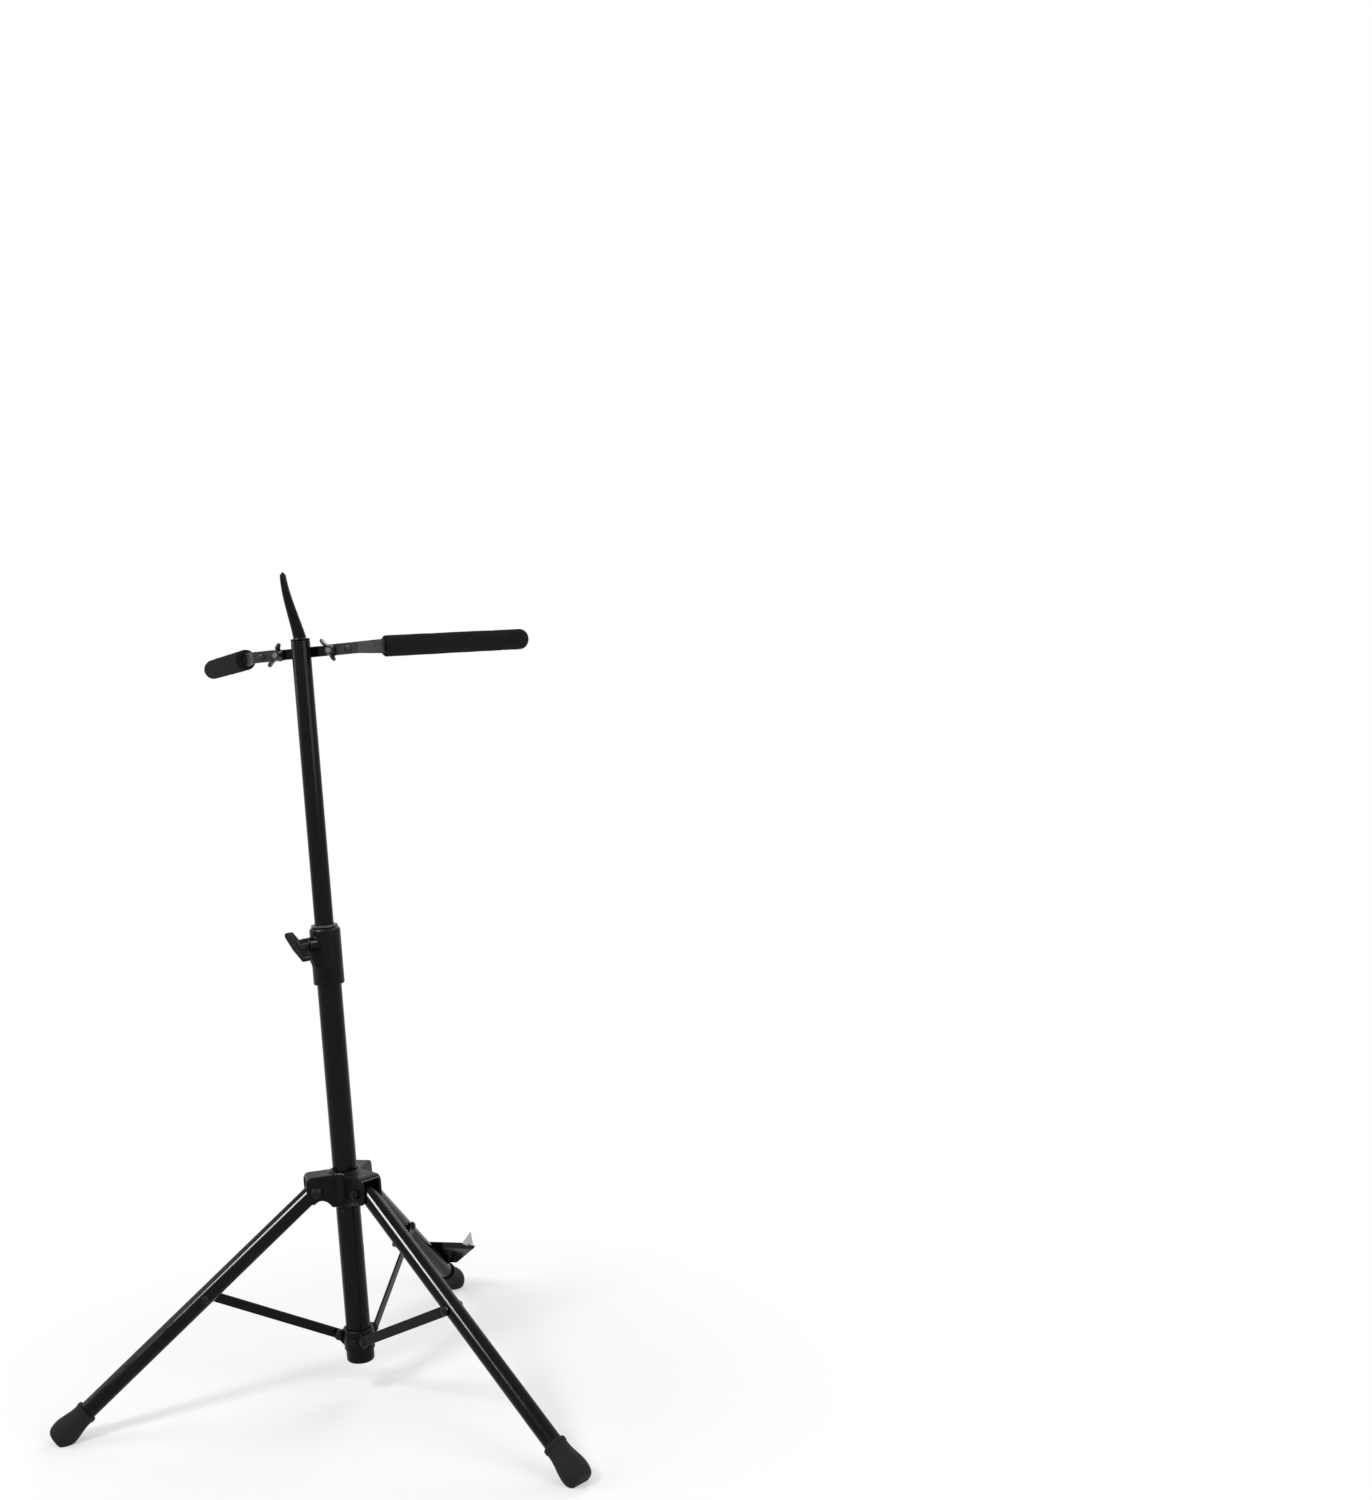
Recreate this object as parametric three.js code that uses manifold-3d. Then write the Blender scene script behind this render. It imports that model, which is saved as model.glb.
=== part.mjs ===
// Folding floor stand for a cello, in millimetres, +Z up.
// A three-legged base folds round a lower tube, an upper tube telescopes out of it,
// two padded arms swing from a cross bar, and a sheet metal tray takes the endpin.

import * as THREE from 'three';
import { mergeVertices } from 'three/addons/utils/BufferGeometryUtils.js';
import Module from 'manifold-3d';

const wasm = await Module();
wasm.setup();

// Fits and overruns shared by all pieces
const touchGap = 0.3;
const cutOverrun = 2;
const mergeShare = 1e-5;

// Mast: lower tube, upper tube and the bushes between them
const lowerTubeDiameter = 28;
const lowerTubeWall = 1.5;
const lowerTubeBottom = 43.3;
const lowerTubeLength = 462;
const upperTubeDiameter = 22;
const upperTubeWall = 1.5;
const mastRimHeight = 862;
const upperTubeLength = 516.5;
const guideBushHeight = 25;
const guideBushLip = 3;

// Lower end cap and lower hub
const endCapFloor = 4;
const endCapDepth = 9;
const endCapWall = 1.6;
const endCapRounding = 3;
const lowerHubHeight = 24;
const lowerHubWall = 3.2;
const lowerHubScrewRadius = 2;
const lowerHubScrewHeadRadius = 3.4;
const lowerHubScrewHeadHeight = 1.8;

// Tripod: leg pivots on the sliding hub, strut pivots on the lower hub. The height of a
// foot's tip over the floor gives the legs their slope of 37.5 degrees.
const legAngles = { front: -90, right: 30, left: 150 };
const legPivotRadius = 36;
const legPivotHeight = 239;
const footTipHeight = 3.409326973625;
const strutPivotRadius = 22;
const strutPivotHeight = 68;
const strutSeatOnLeg = 168;

// Legs and their rubber feet
const legDiameter = 20;
const legWall = 1.5;
const legHeadOverhang = 8;
const legLength = 372;
const footLength = 45;
const footMouthRadius = 12;
const footSwellRadius = 15.5;
const footEndRadius = 10.5;
const footEndRounding = 12;
const footCover = 30;
const footMouthBead = 0.8;
const footMouthBeadLength = 5;

// Sliding hub
const hubHeight = 40;
const hubWall = 4.7;
const hubChamfer = 1.5;
const hubSkirt = 20;
const earReach = 11;
const earAbovePivot = 18;
const earBelowPivot = 13;
const earCorner = 7;
const earRoof = 4.5;
const earCheek = 4;
const earArchRise = 9;
const earHeelOverhang = 3;
const hubWebThickness = 3.2;

// Leg pivot bolts and nuts
const pivotBoltRadius = 3;
const pivotHeadRadius = 7;
const pivotHeadHeight = 3.4;
const pivotNutAcrossFlats = 10;
const pivotNutHeight = 5;
const pivotThreadEnd = 0.8;

// Struts and rivets
const strutWidth = 11;
const strutThickness = 2.5;
const strutFinThickness = 6;
const strutFinFoot = 6;
const rivetRadius = 2.3;
const rivetHeadRadius = 4.6;
const rivetHeadHeight = 2.1;
const stopPinRadius = 2;
const stopPinHeadRadius = 3;
const stopPinHeadHeight = 2.4;

// Height clamp
const collarBelowTubeTop = 34;
const collarAboveTubeTop = 31;
const collarWall = 3.4;
const collarRounding = 4;
const linerWall = 1.8;
const linerFlange = 2.4;
const linerFlangeOverlap = 2.2;
const clampAngle = 60;
const clampAboveTubeTop = 14;
const bossRadius = 8;
const bossReach = 28;
const gussetDrop = 21;
const gussetWidth = 8;
const shoeRadius = 4;
const shoeLength = 6;
const clampScrewRadius = 3;
const knobHubRadius = 8.2;
const knobHubDepth = 6;
const knobStandOff = 1.6;
const knobBarLength = 44;
const knobBarDepth = 9;
const knobBarWidth = 10;
const knobBarTipWidth = 7;
const knobTilt = 139;
const knobSocketDepth = 9;

// Cross bar and the swinging arms
const crossBarBelowRim = 13;
const crossBarHeight = 12;
const crossBarThickness = 3;
const armPivotReach = 54;
const wingBoltReach = 33;
const strapThickness = 3;
const strapHeight = 13;
const strapEndHeight = 17;
const strapBendReach = 65;
const strapForwardLength = 36.5;
const strapBendRadius = 3;
const armSpread = 52;
const wingBoltRadius = 3;
const wingBoltHeadRadius = 7;
const wingBoltHeadHeight = 3;
const wingBoltTail = 2;
const wingNutHubRadius = 6.8;
const wingNutTopRadius = 4.8;
const wingNutHeight = 8;
const wingSpan = 30;
const wingThickness = 2.6;
const wingRootHeight = 6;
const wingTipRadius = 4.5;
const wingLift = 9;
const wingTilt = 60;
const armRodRadius = 4;
const armRodLength = 186;
const foamRadius = 12.5;
const foamLength = 200;
const foamMouthRounding = 1.5;
const foamTipRounding = 10;

// Bow holder in the mouth of the upper tube
const holderPlugDepth = 20;
const holderPlugRelief = 0.3;
const holderFlange = 2.4;
const hornHeight = 74;
const hornLean = 34;
const hornBaseRadius = 8.6;
const hornTipRadius = 3.8;
const hornFlatShare = 0.86;
const hornTipRounding = 4;

// Endpin tray, its screws and the cup in it. The tray is measured back from the leg's end,
// and its ear from the pan's rear corner: behind the fold, in from the side and up.
const trayBehindLegEnd = 91;
const trayLength = 59;
const traySheet = 1.5;
const trayRearHalfWidth = 56;
const trayFrontHalfWidth = 16;
const trayRearRimHalfWidth = 57;
const trayFrontRimHalfWidth = 20;
const trayRearWallHeight = 5;
const trayFrontWallHeight = 13;
const trayNoseLean = 1;
const trayFlangeLength = 9;
const trayFlangeHalfWidth = 44;
const trayFlangeCorner = 7;
const trayFlangeLift = 21.5;
const trayBendRadius = 4;
const trayEarFoot = [-10, 13.5, 3.2];
const trayEarCorner = [0.5, 0.5, 0.5];
const trayEarTip = [0, 7, 22.7];
const trayScrewPlaces = [10, 30];
const trayScrewRadius = 2;
const trayScrewHeadRadius = 4;
const trayScrewHeadHeight = 2;
const trayScrewReach = 4;
const cupPlace = 47;
const cupRadius = 8;
const cupHeight = 5;
const cupWall = 1.6;

// Facets
const tubeSides = 26;
const smallSides = 12;
const arcSteps = 4;
const domeSteps = 3;

// Places worked out from the sizes above
const degree = Math.PI / 180;
const lowerTubeRadius = lowerTubeDiameter / 2;
const lowerTubeBore = lowerTubeRadius - lowerTubeWall;
const lowerTubeTop = lowerTubeBottom + lowerTubeLength;
const upperTubeRadius = upperTubeDiameter / 2;
const upperTubeBore = upperTubeRadius - upperTubeWall;
const upperTubeBottom = mastRimHeight - upperTubeLength;
const legRadius = legDiameter / 2;
const legBore = legRadius - legWall;
const hubBottom = legPivotHeight - hubSkirt;
const hubTop = hubBottom + hubHeight;
const hubBore = lowerTubeRadius + touchGap;
const hubRadius = hubBore + hubWall;
const channelHalfWidth = legRadius + touchGap;
const earHalfWidth = channelHalfWidth + earCheek;
const lowerHubBottom = lowerTubeBottom - endCapFloor + touchGap + endCapDepth + endCapFloor;
const lowerHubBore = lowerTubeRadius + touchGap;
const lowerHubRadius = lowerHubBore + lowerHubWall;
const strutInnerFace = -(legRadius + touchGap);
const strutOuterFace = strutInnerFace - strutThickness;
const finOuterFace = strutInnerFace + touchGap;
const finInnerFace = finOuterFace + strutFinThickness;
const trayRear = legLength - trayBehindLegEnd;
const footEnd = legLength - footCover + footLength;
const legSlope = Math.asin((legPivotHeight - footTipHeight) / footEnd) / degree;
const strutSeatRadius = legPivotRadius + strutSeatOnLeg * Math.cos(legSlope * degree);
const strutSeatHeight = legPivotHeight - strutSeatOnLeg * Math.sin(legSlope * degree);
const strutRun = strutSeatRadius - strutPivotRadius;
const strutRise = strutSeatHeight - strutPivotHeight;
const strutLength = Math.hypot(strutRun, strutRise);
const strutSlope = Math.atan2(strutRise, strutRun);
const crossBarHeightOverFloor = mastRimHeight - crossBarBelowRim;
const crossBarRear = -(upperTubeRadius + touchGap);
const crossBarFront = crossBarRear - crossBarThickness;
const strapFront = crossBarRear + touchGap;
const strapRear = strapFront + strapThickness;

// Finishes
function finish(color, roughness, metalness) {
  return new THREE.MeshStandardMaterial({ color, roughness, metalness });
}

const glossBlackPaint = finish('#17181a', 0.28, 0.3);
const mattBlackPlastic = finish('#232425', 0.6, 0);
const greyedSteel = finish('#54575a', 0.4, 0.8);
const blackenedSteel = finish('#232527', 0.45, 0.6);
const zincSteel = finish('#a7aaad', 0.35, 1);
const blackFoam = finish('#282a28', 0.95, 0);
const blackRubber = finish('#1d1e1f', 0.8, 0);
const clearedNylon = finish('#3a3b3c', 0.5, 0);
const brownedBrass = finish('#8a6a3c', 0.4, 0.7);

// Closed solids from three.js geometries, and their joins and cuts
function solidOf(geometry) {
  const bare = new THREE.BufferGeometry();
  bare.setAttribute('position', geometry.getAttribute('position'));
  bare.setIndex(geometry.index);
  bare.computeBoundingSphere();
  const merged = mergeVertices(bare, bare.boundingSphere.radius * mergeShare);
  const places = merged.getAttribute('position').array;
  const corners = merged.index.array;
  const kept = [];
  let volume = 0;
  const [a, b, c] = [new THREE.Vector3(), new THREE.Vector3(), new THREE.Vector3()];
  for (let i = 0; i < corners.length; i += 3) {
    const [p, q, r] = [corners[i], corners[i + 1], corners[i + 2]];
    if (p === q || q === r || r === p) continue;
    kept.push(p, q, r);
    a.fromArray(places, 3 * p);
    b.fromArray(places, 3 * q);
    c.fromArray(places, 3 * r);
    volume += a.dot(b.cross(c));
  }
  if (volume < 0) kept.reverse();
  return new wasm.Manifold(new wasm.Mesh({
    numProp: 3,
    vertProperties: Float32Array.from(places),
    triVerts: Uint32Array.from(kept),
  }));
}

function joined(...geometries) {
  return geometries.map(solidOf).reduce((whole, next) => whole.add(next));
}

function cutBy(whole, ...geometries) {
  return geometries.map(solidOf).reduce((rest, tool) => rest.subtract(tool), whole);
}

function geometryOf(solid) {
  const mesh = solid.getMesh();
  const geometry = new THREE.BufferGeometry();
  geometry.setAttribute('position', new THREE.BufferAttribute(mesh.vertProperties, mesh.numProp));
  geometry.setIndex(new THREE.BufferAttribute(mesh.triVerts, 1));
  geometry.computeVertexNormals();
  return geometry;
}

function addPiece(parent, name, material, solid) {
  const mesh = new THREE.Mesh(geometryOf(solid), material);
  mesh.name = name;
  parent.add(mesh);
  return mesh;
}

// A profile of [radius, height] pairs turned about Z and closed on itself
function turned(profile, sides = tubeSides) {
  const points = profile.map(([radius, height]) => new THREE.Vector2(radius, height));
  points.push(points[0].clone());
  const geometry = new THREE.LatheGeometry(points, sides);
  geometry.rotateX(Math.PI / 2);
  return geometry;
}

function bar(radius, from, to, sides = tubeSides) {
  return turned([[0, from], [radius, from], [radius, to], [0, to]], sides);
}

function ring(outer, inner, from, to, sides = tubeSides) {
  return turned([[inner, from], [outer, from], [outer, to], [inner, to]], sides);
}

// A dome headed pin along Z: the shank runs up from the first height to the head's seat
function headedPin(shankRadius, shankFrom, headSeat, headRadius, headHeight) {
  const profile = [[0, shankFrom], [shankRadius, shankFrom], [shankRadius, headSeat]];
  profile.push([headRadius, headSeat]);
  for (let step = 1; step <= domeSteps; step += 1) {
    const turn = step / domeSteps * Math.PI / 2;
    profile.push([headRadius * Math.cos(turn), headSeat + headHeight * Math.sin(turn)]);
  }
  return turned(profile, smallSides);
}

const toX = (geometry) => geometry.rotateY(Math.PI / 2);
const toY = (geometry) => geometry.rotateX(-Math.PI / 2);
const toMinusY = (geometry) => geometry.rotateX(Math.PI / 2);

// An outline in X and Z with its thickness along Y
function uprightPlate(shape, fromY, toYFace) {
  const depth = toYFace - fromY;
  const geometry = new THREE.ExtrudeGeometry(shape, {
    depth, bevelEnabled: false, curveSegments: arcSteps,
  });
  geometry.rotateX(Math.PI / 2);
  geometry.translate(0, toYFace, 0);
  return geometry;
}

// An outline in X and Y with its thickness along Z
function flatPlate(shape, fromZ, toZ) {
  const geometry = new THREE.ExtrudeGeometry(shape, {
    depth: toZ - fromZ, bevelEnabled: false, curveSegments: arcSteps,
  });
  geometry.translate(0, 0, fromZ);
  return geometry;
}

function block(fromX, toXFace, fromY, toYFace, fromZ, toZ) {
  const geometry = new THREE.BoxGeometry(toXFace - fromX, toYFace - fromY, toZ - fromZ);
  geometry.translate((fromX + toXFace) / 2, (fromY + toYFace) / 2, (fromZ + toZ) / 2);
  return geometry;
}

// A closed skin over rings of points, each ring with as many points
function lofted(rings) {
  const count = rings[0].length;
  const places = rings.flat().flat();
  const corners = [];
  for (let level = 0; level + 1 < rings.length; level += 1) {
    for (let i = 0; i < count; i += 1) {
      const a = level * count + i;
      const b = level * count + (i + 1) % count;
      corners.push(a, b, b + count, a, b + count, a + count);
    }
  }
  const last = (rings.length - 1) * count;
  for (let i = 1; i + 1 < count; i += 1) {
    corners.push(0, i + 1, i, last, last + i, last + i + 1);
  }
  const geometry = new THREE.BufferGeometry();
  geometry.setAttribute('position', new THREE.Float32BufferAttribute(places, 3));
  geometry.setIndex(corners);
  return geometry;
}

const stand = new THREE.Group();
const standing = new THREE.Group();
stand.add(standing);

// Lower tube with the holes for its stop pin and for the lower hub's screw
const stopPinHeight = hubBottom - stopPinHeadRadius - touchGap;
const lowerHubScrewHeight = lowerHubBottom + lowerHubHeight / 2;

function buildLowerMast() {
  const wallReach = lowerTubeRadius + cutOverrun;
  const pinHole = toY(bar(stopPinRadius + touchGap, 0, wallReach, smallSides));
  pinHole.translate(0, 0, stopPinHeight);
  const screwHole = toY(bar(lowerHubScrewRadius + touchGap, 0, wallReach, smallSides));
  screwHole.translate(0, 0, lowerHubScrewHeight);
  const tube = joined(ring(lowerTubeRadius, lowerTubeBore, lowerTubeBottom, lowerTubeTop));
  addPiece(standing, 'lower_tube', glossBlackPaint, cutBy(tube, pinHole, screwHole));

  const pin = toY(headedPin(stopPinRadius, lowerTubeBore + touchGap, lowerTubeRadius + touchGap,
    stopPinHeadRadius, stopPinHeadHeight));
  pin.translate(0, 0, stopPinHeight);
  addPiece(standing, 'hub_stop_pin', blackenedSteel, joined(pin));

  const capRadius = lowerTubeRadius + touchGap + endCapWall;
  const capBottom = lowerTubeBottom - touchGap - endCapFloor;
  const capProfile = [[0, capBottom]];
  for (let step = 0; step <= arcSteps; step += 1) {
    const turn = step / arcSteps * Math.PI / 2;
    capProfile.push([
      capRadius - endCapRounding + endCapRounding * Math.sin(turn),
      capBottom + endCapRounding - endCapRounding * Math.cos(turn),
    ]);
  }
  const capTop = capBottom + endCapFloor + endCapDepth;
  capProfile.push([capRadius, capTop], [lowerTubeRadius + touchGap, capTop]);
  capProfile.push([lowerTubeRadius + touchGap, capBottom + endCapFloor], [0, capBottom + endCapFloor]);
  addPiece(standing, 'lower_end_cap', mattBlackPlastic, joined(turned(capProfile)));
}

// Lower hub: a ring with three fins, each beside the plane of its leg
function finOutline() {
  const shape = new THREE.Shape();
  const round = strutWidth / 2;
  const top = strutPivotHeight + round;
  shape.moveTo(lowerHubBore, top);
  shape.lineTo(strutPivotRadius, top);
  shape.absarc(strutPivotRadius, strutPivotHeight, round, Math.PI / 2, -Math.PI / 2, true);
  shape.lineTo(lowerHubRadius, strutPivotHeight - round - strutFinFoot);
  shape.lineTo(lowerHubBore, strutPivotHeight - round - strutFinFoot);
  return shape;
}

function buildLowerHub() {
  const top = lowerHubBottom + lowerHubHeight;
  let hub = joined(bar(lowerHubRadius, lowerHubBottom, top));
  const rivetHoleRadius = rivetRadius + touchGap;
  const holes = [];
  for (const angle of Object.values(legAngles)) {
    const fin = uprightPlate(finOutline(), finOuterFace, finInnerFace);
    fin.rotateZ(angle * degree);
    hub = hub.add(solidOf(fin));
    const hole = toY(bar(rivetHoleRadius, finOuterFace - cutOverrun, finInnerFace + cutOverrun, smallSides));
    hole.translate(strutPivotRadius, 0, strutPivotHeight);
    hole.rotateZ(angle * degree);
    holes.push(hole);
  }
  const bore = bar(lowerHubBore, lowerHubBottom - cutOverrun, top + cutOverrun);
  const screwHole = toY(bar(lowerHubScrewRadius + touchGap, 0, lowerHubRadius + cutOverrun, smallSides));
  screwHole.translate(0, 0, lowerHubScrewHeight);
  addPiece(standing, 'lower_hub', mattBlackPlastic, cutBy(hub, bore, screwHole, ...holes));

  const screw = toY(headedPin(lowerHubScrewRadius, lowerTubeBore + touchGap, lowerHubRadius + touchGap,
    lowerHubScrewHeadRadius, lowerHubScrewHeadHeight));
  screw.translate(0, 0, lowerHubScrewHeight);
  addPiece(standing, 'lower_hub_screw', blackenedSteel, joined(screw));
}

// Sliding hub: a sleeve with three roofed ears, arched below, that the leg heads fold in
function earOutline() {
  const shape = new THREE.Shape();
  const reach = legPivotRadius + earReach;
  const top = legPivotHeight + earAbovePivot;
  const bottom = legPivotHeight - earBelowPivot;
  const heel = legPivotRadius + earHeelOverhang;
  shape.moveTo(hubBore, top);
  shape.lineTo(reach - earCorner, top);
  shape.absarc(reach - earCorner, top - earCorner, earCorner, Math.PI / 2, 0, true);
  shape.lineTo(reach, bottom + earCorner);
  shape.absarc(reach - earCorner, bottom + earCorner, earCorner, 0, -Math.PI / 2, true);
  shape.lineTo(heel, bottom);
  shape.quadraticCurveTo((heel + hubRadius) / 2, bottom + earArchRise, hubRadius, hubBottom + hubChamfer);
  shape.lineTo(hubBore, hubBottom + hubChamfer);
  return shape;
}

function buildHub() {
  let hub = joined(turned([
    [0, hubBottom], [hubRadius - hubChamfer, hubBottom], [hubRadius, hubBottom + hubChamfer],
    [hubRadius, hubTop - hubChamfer], [hubRadius - hubChamfer, hubTop], [0, hubTop],
  ]));
  const tools = [bar(hubBore, hubBottom - cutOverrun, hubTop + cutOverrun)];
  const roofUnderside = legPivotHeight + earAbovePivot - earRoof;
  const channelInner = hubRadius + hubWebThickness;
  for (const angle of Object.values(legAngles)) {
    const ear = uprightPlate(earOutline(), -earHalfWidth, earHalfWidth);
    ear.rotateZ(angle * degree);
    hub = hub.add(solidOf(ear));
    const channel = block(channelInner, legPivotRadius + earReach + cutOverrun,
      -channelHalfWidth, channelHalfWidth, hubBottom - cutOverrun, roofUnderside);
    channel.rotateZ(angle * degree);
    const boltHole = toY(bar(pivotBoltRadius + touchGap, -earHalfWidth - cutOverrun,
      earHalfWidth + cutOverrun, smallSides));
    boltHole.translate(legPivotRadius, 0, legPivotHeight);
    boltHole.rotateZ(angle * degree);
    tools.push(channel, boltHole);
  }
  addPiece(standing, 'hub', mattBlackPlastic, cutBy(hub, ...tools));
}

// Leg: tube, foot, bolt and the rivet's half that stays in the leg
function hexagon(acrossFlats) {
  const shape = new THREE.Shape();
  const corner = acrossFlats / 2 / Math.cos(Math.PI / 6);
  for (let side = 0; side < 6; side += 1) {
    const turn = side * Math.PI / 3;
    shape[side ? 'lineTo' : 'moveTo'](corner * Math.cos(turn), corner * Math.sin(turn));
  }
  return shape;
}

function buildPivotBolt(side, carrier) {
  const seat = earHalfWidth + touchGap;
  const nutFace = -(seat + pivotNutHeight);
  const bolt = toY(headedPin(pivotBoltRadius, nutFace - pivotThreadEnd, seat,
    pivotHeadRadius, pivotHeadHeight));
  addPiece(carrier, `leg_bolt_${side}`, blackenedSteel, joined(bolt));
  const nut = flatPlate(hexagon(pivotNutAcrossFlats), 0, pivotNutHeight);
  const nutBore = bar(pivotBoltRadius + touchGap, -cutOverrun, pivotNutHeight + cutOverrun, smallSides);
  const nutSolid = cutBy(joined(nut), nutBore);
  const piece = addPiece(carrier, `leg_nut_${side}`, blackenedSteel, nutSolid);
  piece.rotation.x = Math.PI / 2;
  piece.position.y = -seat;
}

function footProfile() {
  const mouth = legLength - footCover;
  const end = footEnd;
  const bottom = legLength + touchGap;
  const bore = legRadius + touchGap;
  const profile = [[bore, mouth], [footMouthRadius + footMouthBead, mouth]];
  profile.push([footMouthRadius + footMouthBead, mouth + footMouthBeadLength]);
  profile.push([footMouthRadius, mouth + footMouthBeadLength]);
  for (let step = 0; step <= arcSteps; step += 1) {
    const turn = step / arcSteps * Math.PI / 2;
    profile.push([
      footEndRadius + (footSwellRadius - footEndRadius) * Math.cos(turn),
      end - footEndRounding + footEndRounding * Math.sin(turn),
    ]);
  }
  profile.push([0, end], [0, bottom], [bore, bottom]);
  return profile;
}

function buildLeg(side, leg) {
  const tube = toX(ring(legRadius, legBore, -legHeadOverhang, legLength));
  const reach = legRadius + cutOverrun;
  const boltHole = toY(bar(pivotBoltRadius + touchGap, -reach, reach, smallSides));
  const rivetHole = toY(bar(rivetRadius + touchGap, -reach, reach, smallSides));
  rivetHole.translate(strutSeatOnLeg, 0, 0);
  const holes = [boltHole, rivetHole];
  if (side === 'front') {
    for (const place of trayScrewPlaces) {
      const hole = bar(trayScrewRadius + touchGap, 0, reach, smallSides);
      hole.translate(trayRear + place, 0, 0);
      holes.push(hole);
    }
  }
  addPiece(leg, `leg_${side}`, glossBlackPaint, cutBy(joined(tube), ...holes));

  const rivet = toY(headedPin(rivetRadius, -legRadius + legWall / 2, legRadius + touchGap,
    rivetHeadRadius, rivetHeadHeight));
  rivet.translate(strutSeatOnLeg, 0, 0);
  addPiece(leg, `leg_rivet_${side}`, blackenedSteel, joined(rivet));

  const floor = block(-footLength, footLength, -footLength, footLength, -footLength, 0);
  floor.rotateY(-legSlope * degree);
  const drop = legPivotHeight / Math.sin(legSlope * degree);
  floor.translate(drop, 0, 0);
  const foot = cutBy(joined(toX(turned(footProfile()))), floor);
  addPiece(leg, `foot_${side}`, blackRubber, foot);
}

// Strut: a flat bar with round ends, its rivets, and the fin side face that it lies against
function strutOutline() {
  const shape = new THREE.Shape();
  const round = strutWidth / 2;
  shape.absarc(0, 0, round, Math.PI / 2, Math.PI * 3 / 2, false);
  shape.absarc(strutLength, 0, round, -Math.PI / 2, Math.PI / 2, false);
  for (const place of [0, strutLength]) {
    const hole = new THREE.Path();
    hole.absarc(place, 0, rivetRadius + touchGap, 0, Math.PI * 2, true);
    shape.holes.push(hole);
  }
  return shape;
}

function buildStrut(side, strut) {
  addPiece(strut, `strut_${side}`, glossBlackPaint,
    joined(uprightPlate(strutOutline(), strutOuterFace, strutInnerFace)));
  const headSeat = -strutOuterFace + touchGap;
  const outer = toMinusY(headedPin(rivetRadius, -strutInnerFace, headSeat, rivetHeadRadius, rivetHeadHeight));
  outer.translate(strutLength, 0, 0);
  addPiece(strut, `strut_rivet_outer_${side}`, blackenedSteel, joined(outer));

  const inner = pinThrough(rivetRadius, strutOuterFace - touchGap, finInnerFace + touchGap,
    rivetHeadRadius, rivetHeadHeight);
  addPiece(strut, `strut_rivet_inner_${side}`, blackenedSteel, inner);
}

function buildTripod() {
  for (const [side, angle] of Object.entries(legAngles)) {
    const plane = new THREE.Group();
    plane.rotation.z = angle * degree;
    standing.add(plane);
    const leg = new THREE.Group();
    leg.position.set(legPivotRadius, 0, legPivotHeight);
    leg.rotation.y = legSlope * degree;
    plane.add(leg);
    buildLeg(side, leg);
    const bolts = new THREE.Group();
    bolts.position.copy(leg.position);
    plane.add(bolts);
    buildPivotBolt(side, bolts);
    const strut = new THREE.Group();
    strut.position.set(strutPivotRadius, 0, strutPivotHeight);
    strut.rotation.y = -strutSlope;
    plane.add(strut);
    buildStrut(side, strut);
    if (side === 'front') buildTray(leg);
  }
}

// Tray: a pan of bent sheet, wide at the rear and narrow at the nose, on top of the front leg
function panCorners(inset, floor, levels, rearOverrun) {
  return levels.map(([rearHeight, noseHeight]) => {
    const rearShare = rearHeight / trayRearWallHeight;
    const noseShare = noseHeight / trayFrontWallHeight;
    const rearHalf = THREE.MathUtils.lerp(trayRearHalfWidth, trayRearRimHalfWidth, rearShare) - inset;
    const noseHalf = THREE.MathUtils.lerp(trayFrontHalfWidth, trayFrontRimHalfWidth, noseShare) - inset;
    const rear = trayRear - rearOverrun;
    const nose = trayRear + trayLength + trayNoseLean * noseShare - inset;
    return [
      [rear, -rearHalf, floor + rearHeight],
      [nose, -noseHalf, floor + noseHeight],
      [nose, noseHalf, floor + noseHeight],
      [rear, rearHalf, floor + rearHeight],
    ];
  });
}

// The ear is the corner of the blank at one end of the flange, turned up past upright
function trayEar(floor) {
  const [foot, corner, tip] = [trayEarFoot, trayEarCorner, trayEarTip].map(([along, inset, up]) =>
    new THREE.Vector3(trayRear + along, inset - trayRearHalfWidth, floor + up));
  const inward = corner.clone().sub(foot).cross(tip.clone().sub(foot)).setLength(-traySheet);
  const outside = [foot, corner, tip];
  const inside = outside.map((place) => place.clone().add(inward));
  return lofted([outside, inside].map((face) => face.map((place) => place.toArray())));
}

function flangeSection() {
  const shape = new THREE.Shape();
  const lift = trayFlangeLift * degree;
  const centre = trayBendRadius + traySheet;
  const inner = trayBendRadius;
  const along = trayFlangeLength;
  shape.moveTo(cutOverrun, 0);
  shape.lineTo(0, 0);
  shape.absarc(0, centre, centre, -Math.PI / 2, -Math.PI / 2 - lift, true);
  const lowX = -centre * Math.sin(lift) - along * Math.cos(lift);
  const lowZ = centre - centre * Math.cos(lift) + along * Math.sin(lift);
  shape.lineTo(lowX, lowZ);
  shape.lineTo(lowX + traySheet * Math.sin(lift), lowZ + traySheet * Math.cos(lift));
  shape.lineTo(-inner * Math.sin(lift), centre - inner * Math.cos(lift));
  shape.absarc(0, centre, inner, -Math.PI / 2 - lift, -Math.PI / 2, false);
  shape.lineTo(cutOverrun, traySheet);
  return shape;
}

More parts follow.
